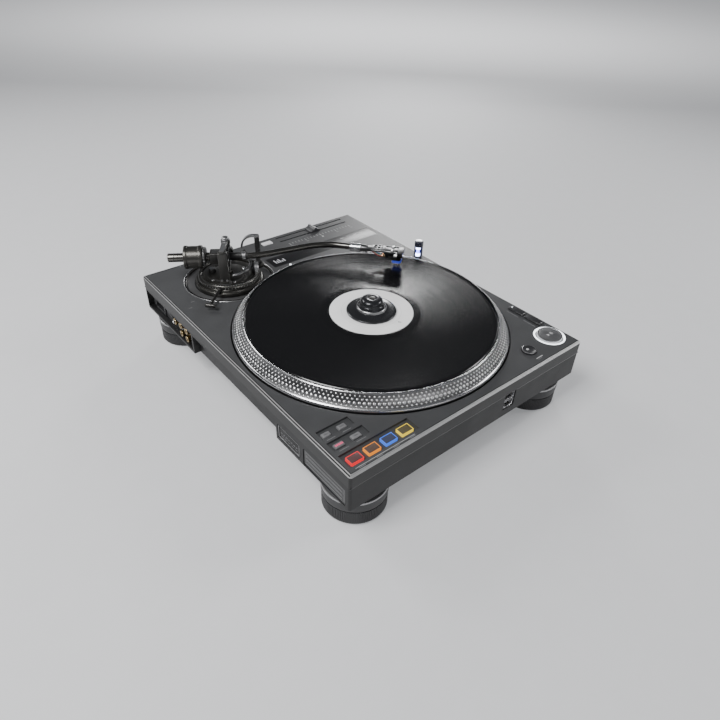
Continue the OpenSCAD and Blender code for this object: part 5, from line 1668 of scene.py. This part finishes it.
@dataclass
class Studio:
    """Camera, pale floor and soft lights.

    Attributes:
        eye: camera position in metres.
        yaw: direction of view, clockwise from +Y, in degrees.
        pitch: its angle above the horizon.
        roll: turn of the camera about its view.
        lens: focal length on a 36 mm sensor.
    """
    eye: Point3 = (-0.4075, -0.5059, 0.4943)
    yaw: float = 40.35
    pitch: float = -37.123
    roll: float = 2.085
    lens: float = 29.96

    def build(self) -> None:
        """Sets up the camera, the floor, the world and the lights."""
        self.camera()
        self.floor()
        world = bpy.data.worlds.new("studio_air")
        world.use_nodes = True
        background = world.node_tree.nodes["Background"]
        background.inputs[0].default_value = (0.9, 0.93, 1.0, 1.0)
        background.inputs[1].default_value = 0.12
        bpy.context.scene.world = world
        self.softbox("key", (-1.0, -0.1, 1.35), (0.0, 0.0, 0.05), (0.7, 0.7), 27.0)
        self.softbox("right", (1.3, -0.7, 0.9), (0.0, 0.0, 0.03), (0.6, 0.4), 9.0)
        self.softbox("front", (-0.1, -1.5, 0.55), (0.0, 0.0, 0.03), (1.3, 0.3), 2.5)
        self.softbox("streak", (1.15, 1.1, 0.62), (0.08, 0.02, 0.1), (0.3, 0.3), 7.0)
        self.softbox("back", (-0.55, 1.35, 1.1), (0.0, 0.0, 0.05), (0.7, 0.4), 10.0)
        self.softbox("backdrop", (1.4, 1.6, 1.7), (4.2, 4.8, 0.0), (2.5, 1.0), 110.0)

    def camera(self) -> None:
        """Creates the camera from its position and angles."""
        yaw, pitch, roll = (math.radians(a) for a in (self.yaw, self.pitch, self.roll))
        ahead = Vector((math.sin(yaw) * math.cos(pitch), math.cos(yaw) * math.cos(pitch), math.sin(pitch)))
        right = Vector((math.cos(yaw), -math.sin(yaw), 0.0))
        up = right.cross(ahead)
        x = right * math.cos(roll) + up * math.sin(roll)
        y = up * math.cos(roll) - right * math.sin(roll)
        data = bpy.data.cameras.new("view")
        data.lens = self.lens
        data.sensor_width = 36.0
        camera = bpy.data.objects.new("view", data)
        turned = Matrix((x, y, -ahead)).transposed().to_4x4()
        camera.matrix_world = Matrix.Translation(self.eye) @ turned
        bpy.context.scene.collection.objects.link(camera)
        bpy.context.scene.camera = camera

    def floor(self) -> None:
        """Plain pale floor that curves up far behind the object."""
        bm = bmesh.new()
        rows = [(-5.0, 0.0), (5.6, 0.0), (6.2, 0.06), (6.6, 0.25), (6.8, 0.6), (6.85, 1.2)]
        line = []
        for y, z in rows:
            line.append([bm.verts.new((x, y, z)) for x in (-7.0, 7.0)])
        for a, b in zip(line, line[1:]):
            bm.faces.new((a[0], a[1], b[1], b[0]))
        mesh = bpy.data.meshes.new("floor")
        bm.to_mesh(mesh)
        bm.free()
        mesh.transform(Matrix.Rotation(math.radians(-40), 4, "Z"))
        paint = Finish("floor_pale", (0.6, 0.6, 0.61), 0.0, 0.75, 60.0, 0.00001, vary=0.01,
                       glow=(0.95, 0.97, 1.0), power=0.22)
        mesh.materials.append(paint.material())
        made = bpy.data.objects.new("floor", mesh)
        bpy.context.scene.collection.objects.link(made)

    def softbox(self, name: str, place: Point3, aim: Point3, size: Point, power: float) -> None:
        """Adds one soft rectangular light.

        Args:
            name: name of the light.
            place: its position in metres.
            aim: the point it faces.
            size: its width and height in metres.
            power: its power in watts.
        """
        data = bpy.data.lights.new(name, "AREA")
        data.shape = "RECTANGLE"
        data.size, data.size_y = size
        data.energy = power
        light = bpy.data.objects.new(name, data)
        way = Vector(aim) - Vector(place)
        light.matrix_world = Matrix.Translation(place) @ way.to_track_quat("-Z", "Y").to_matrix().to_4x4()
        bpy.context.scene.collection.objects.link(light)


def main() -> None:
    """Builds every sub-assembly."""
    logging.basicConfig(level=logging.INFO, format="%(name)s: %(message)s")
    Case().build()
    Controls().build()
    Turntable().build()
    Tonearm().build()
    Feet().build()
    Studio().build()


if __name__ == "__main__":
    main()
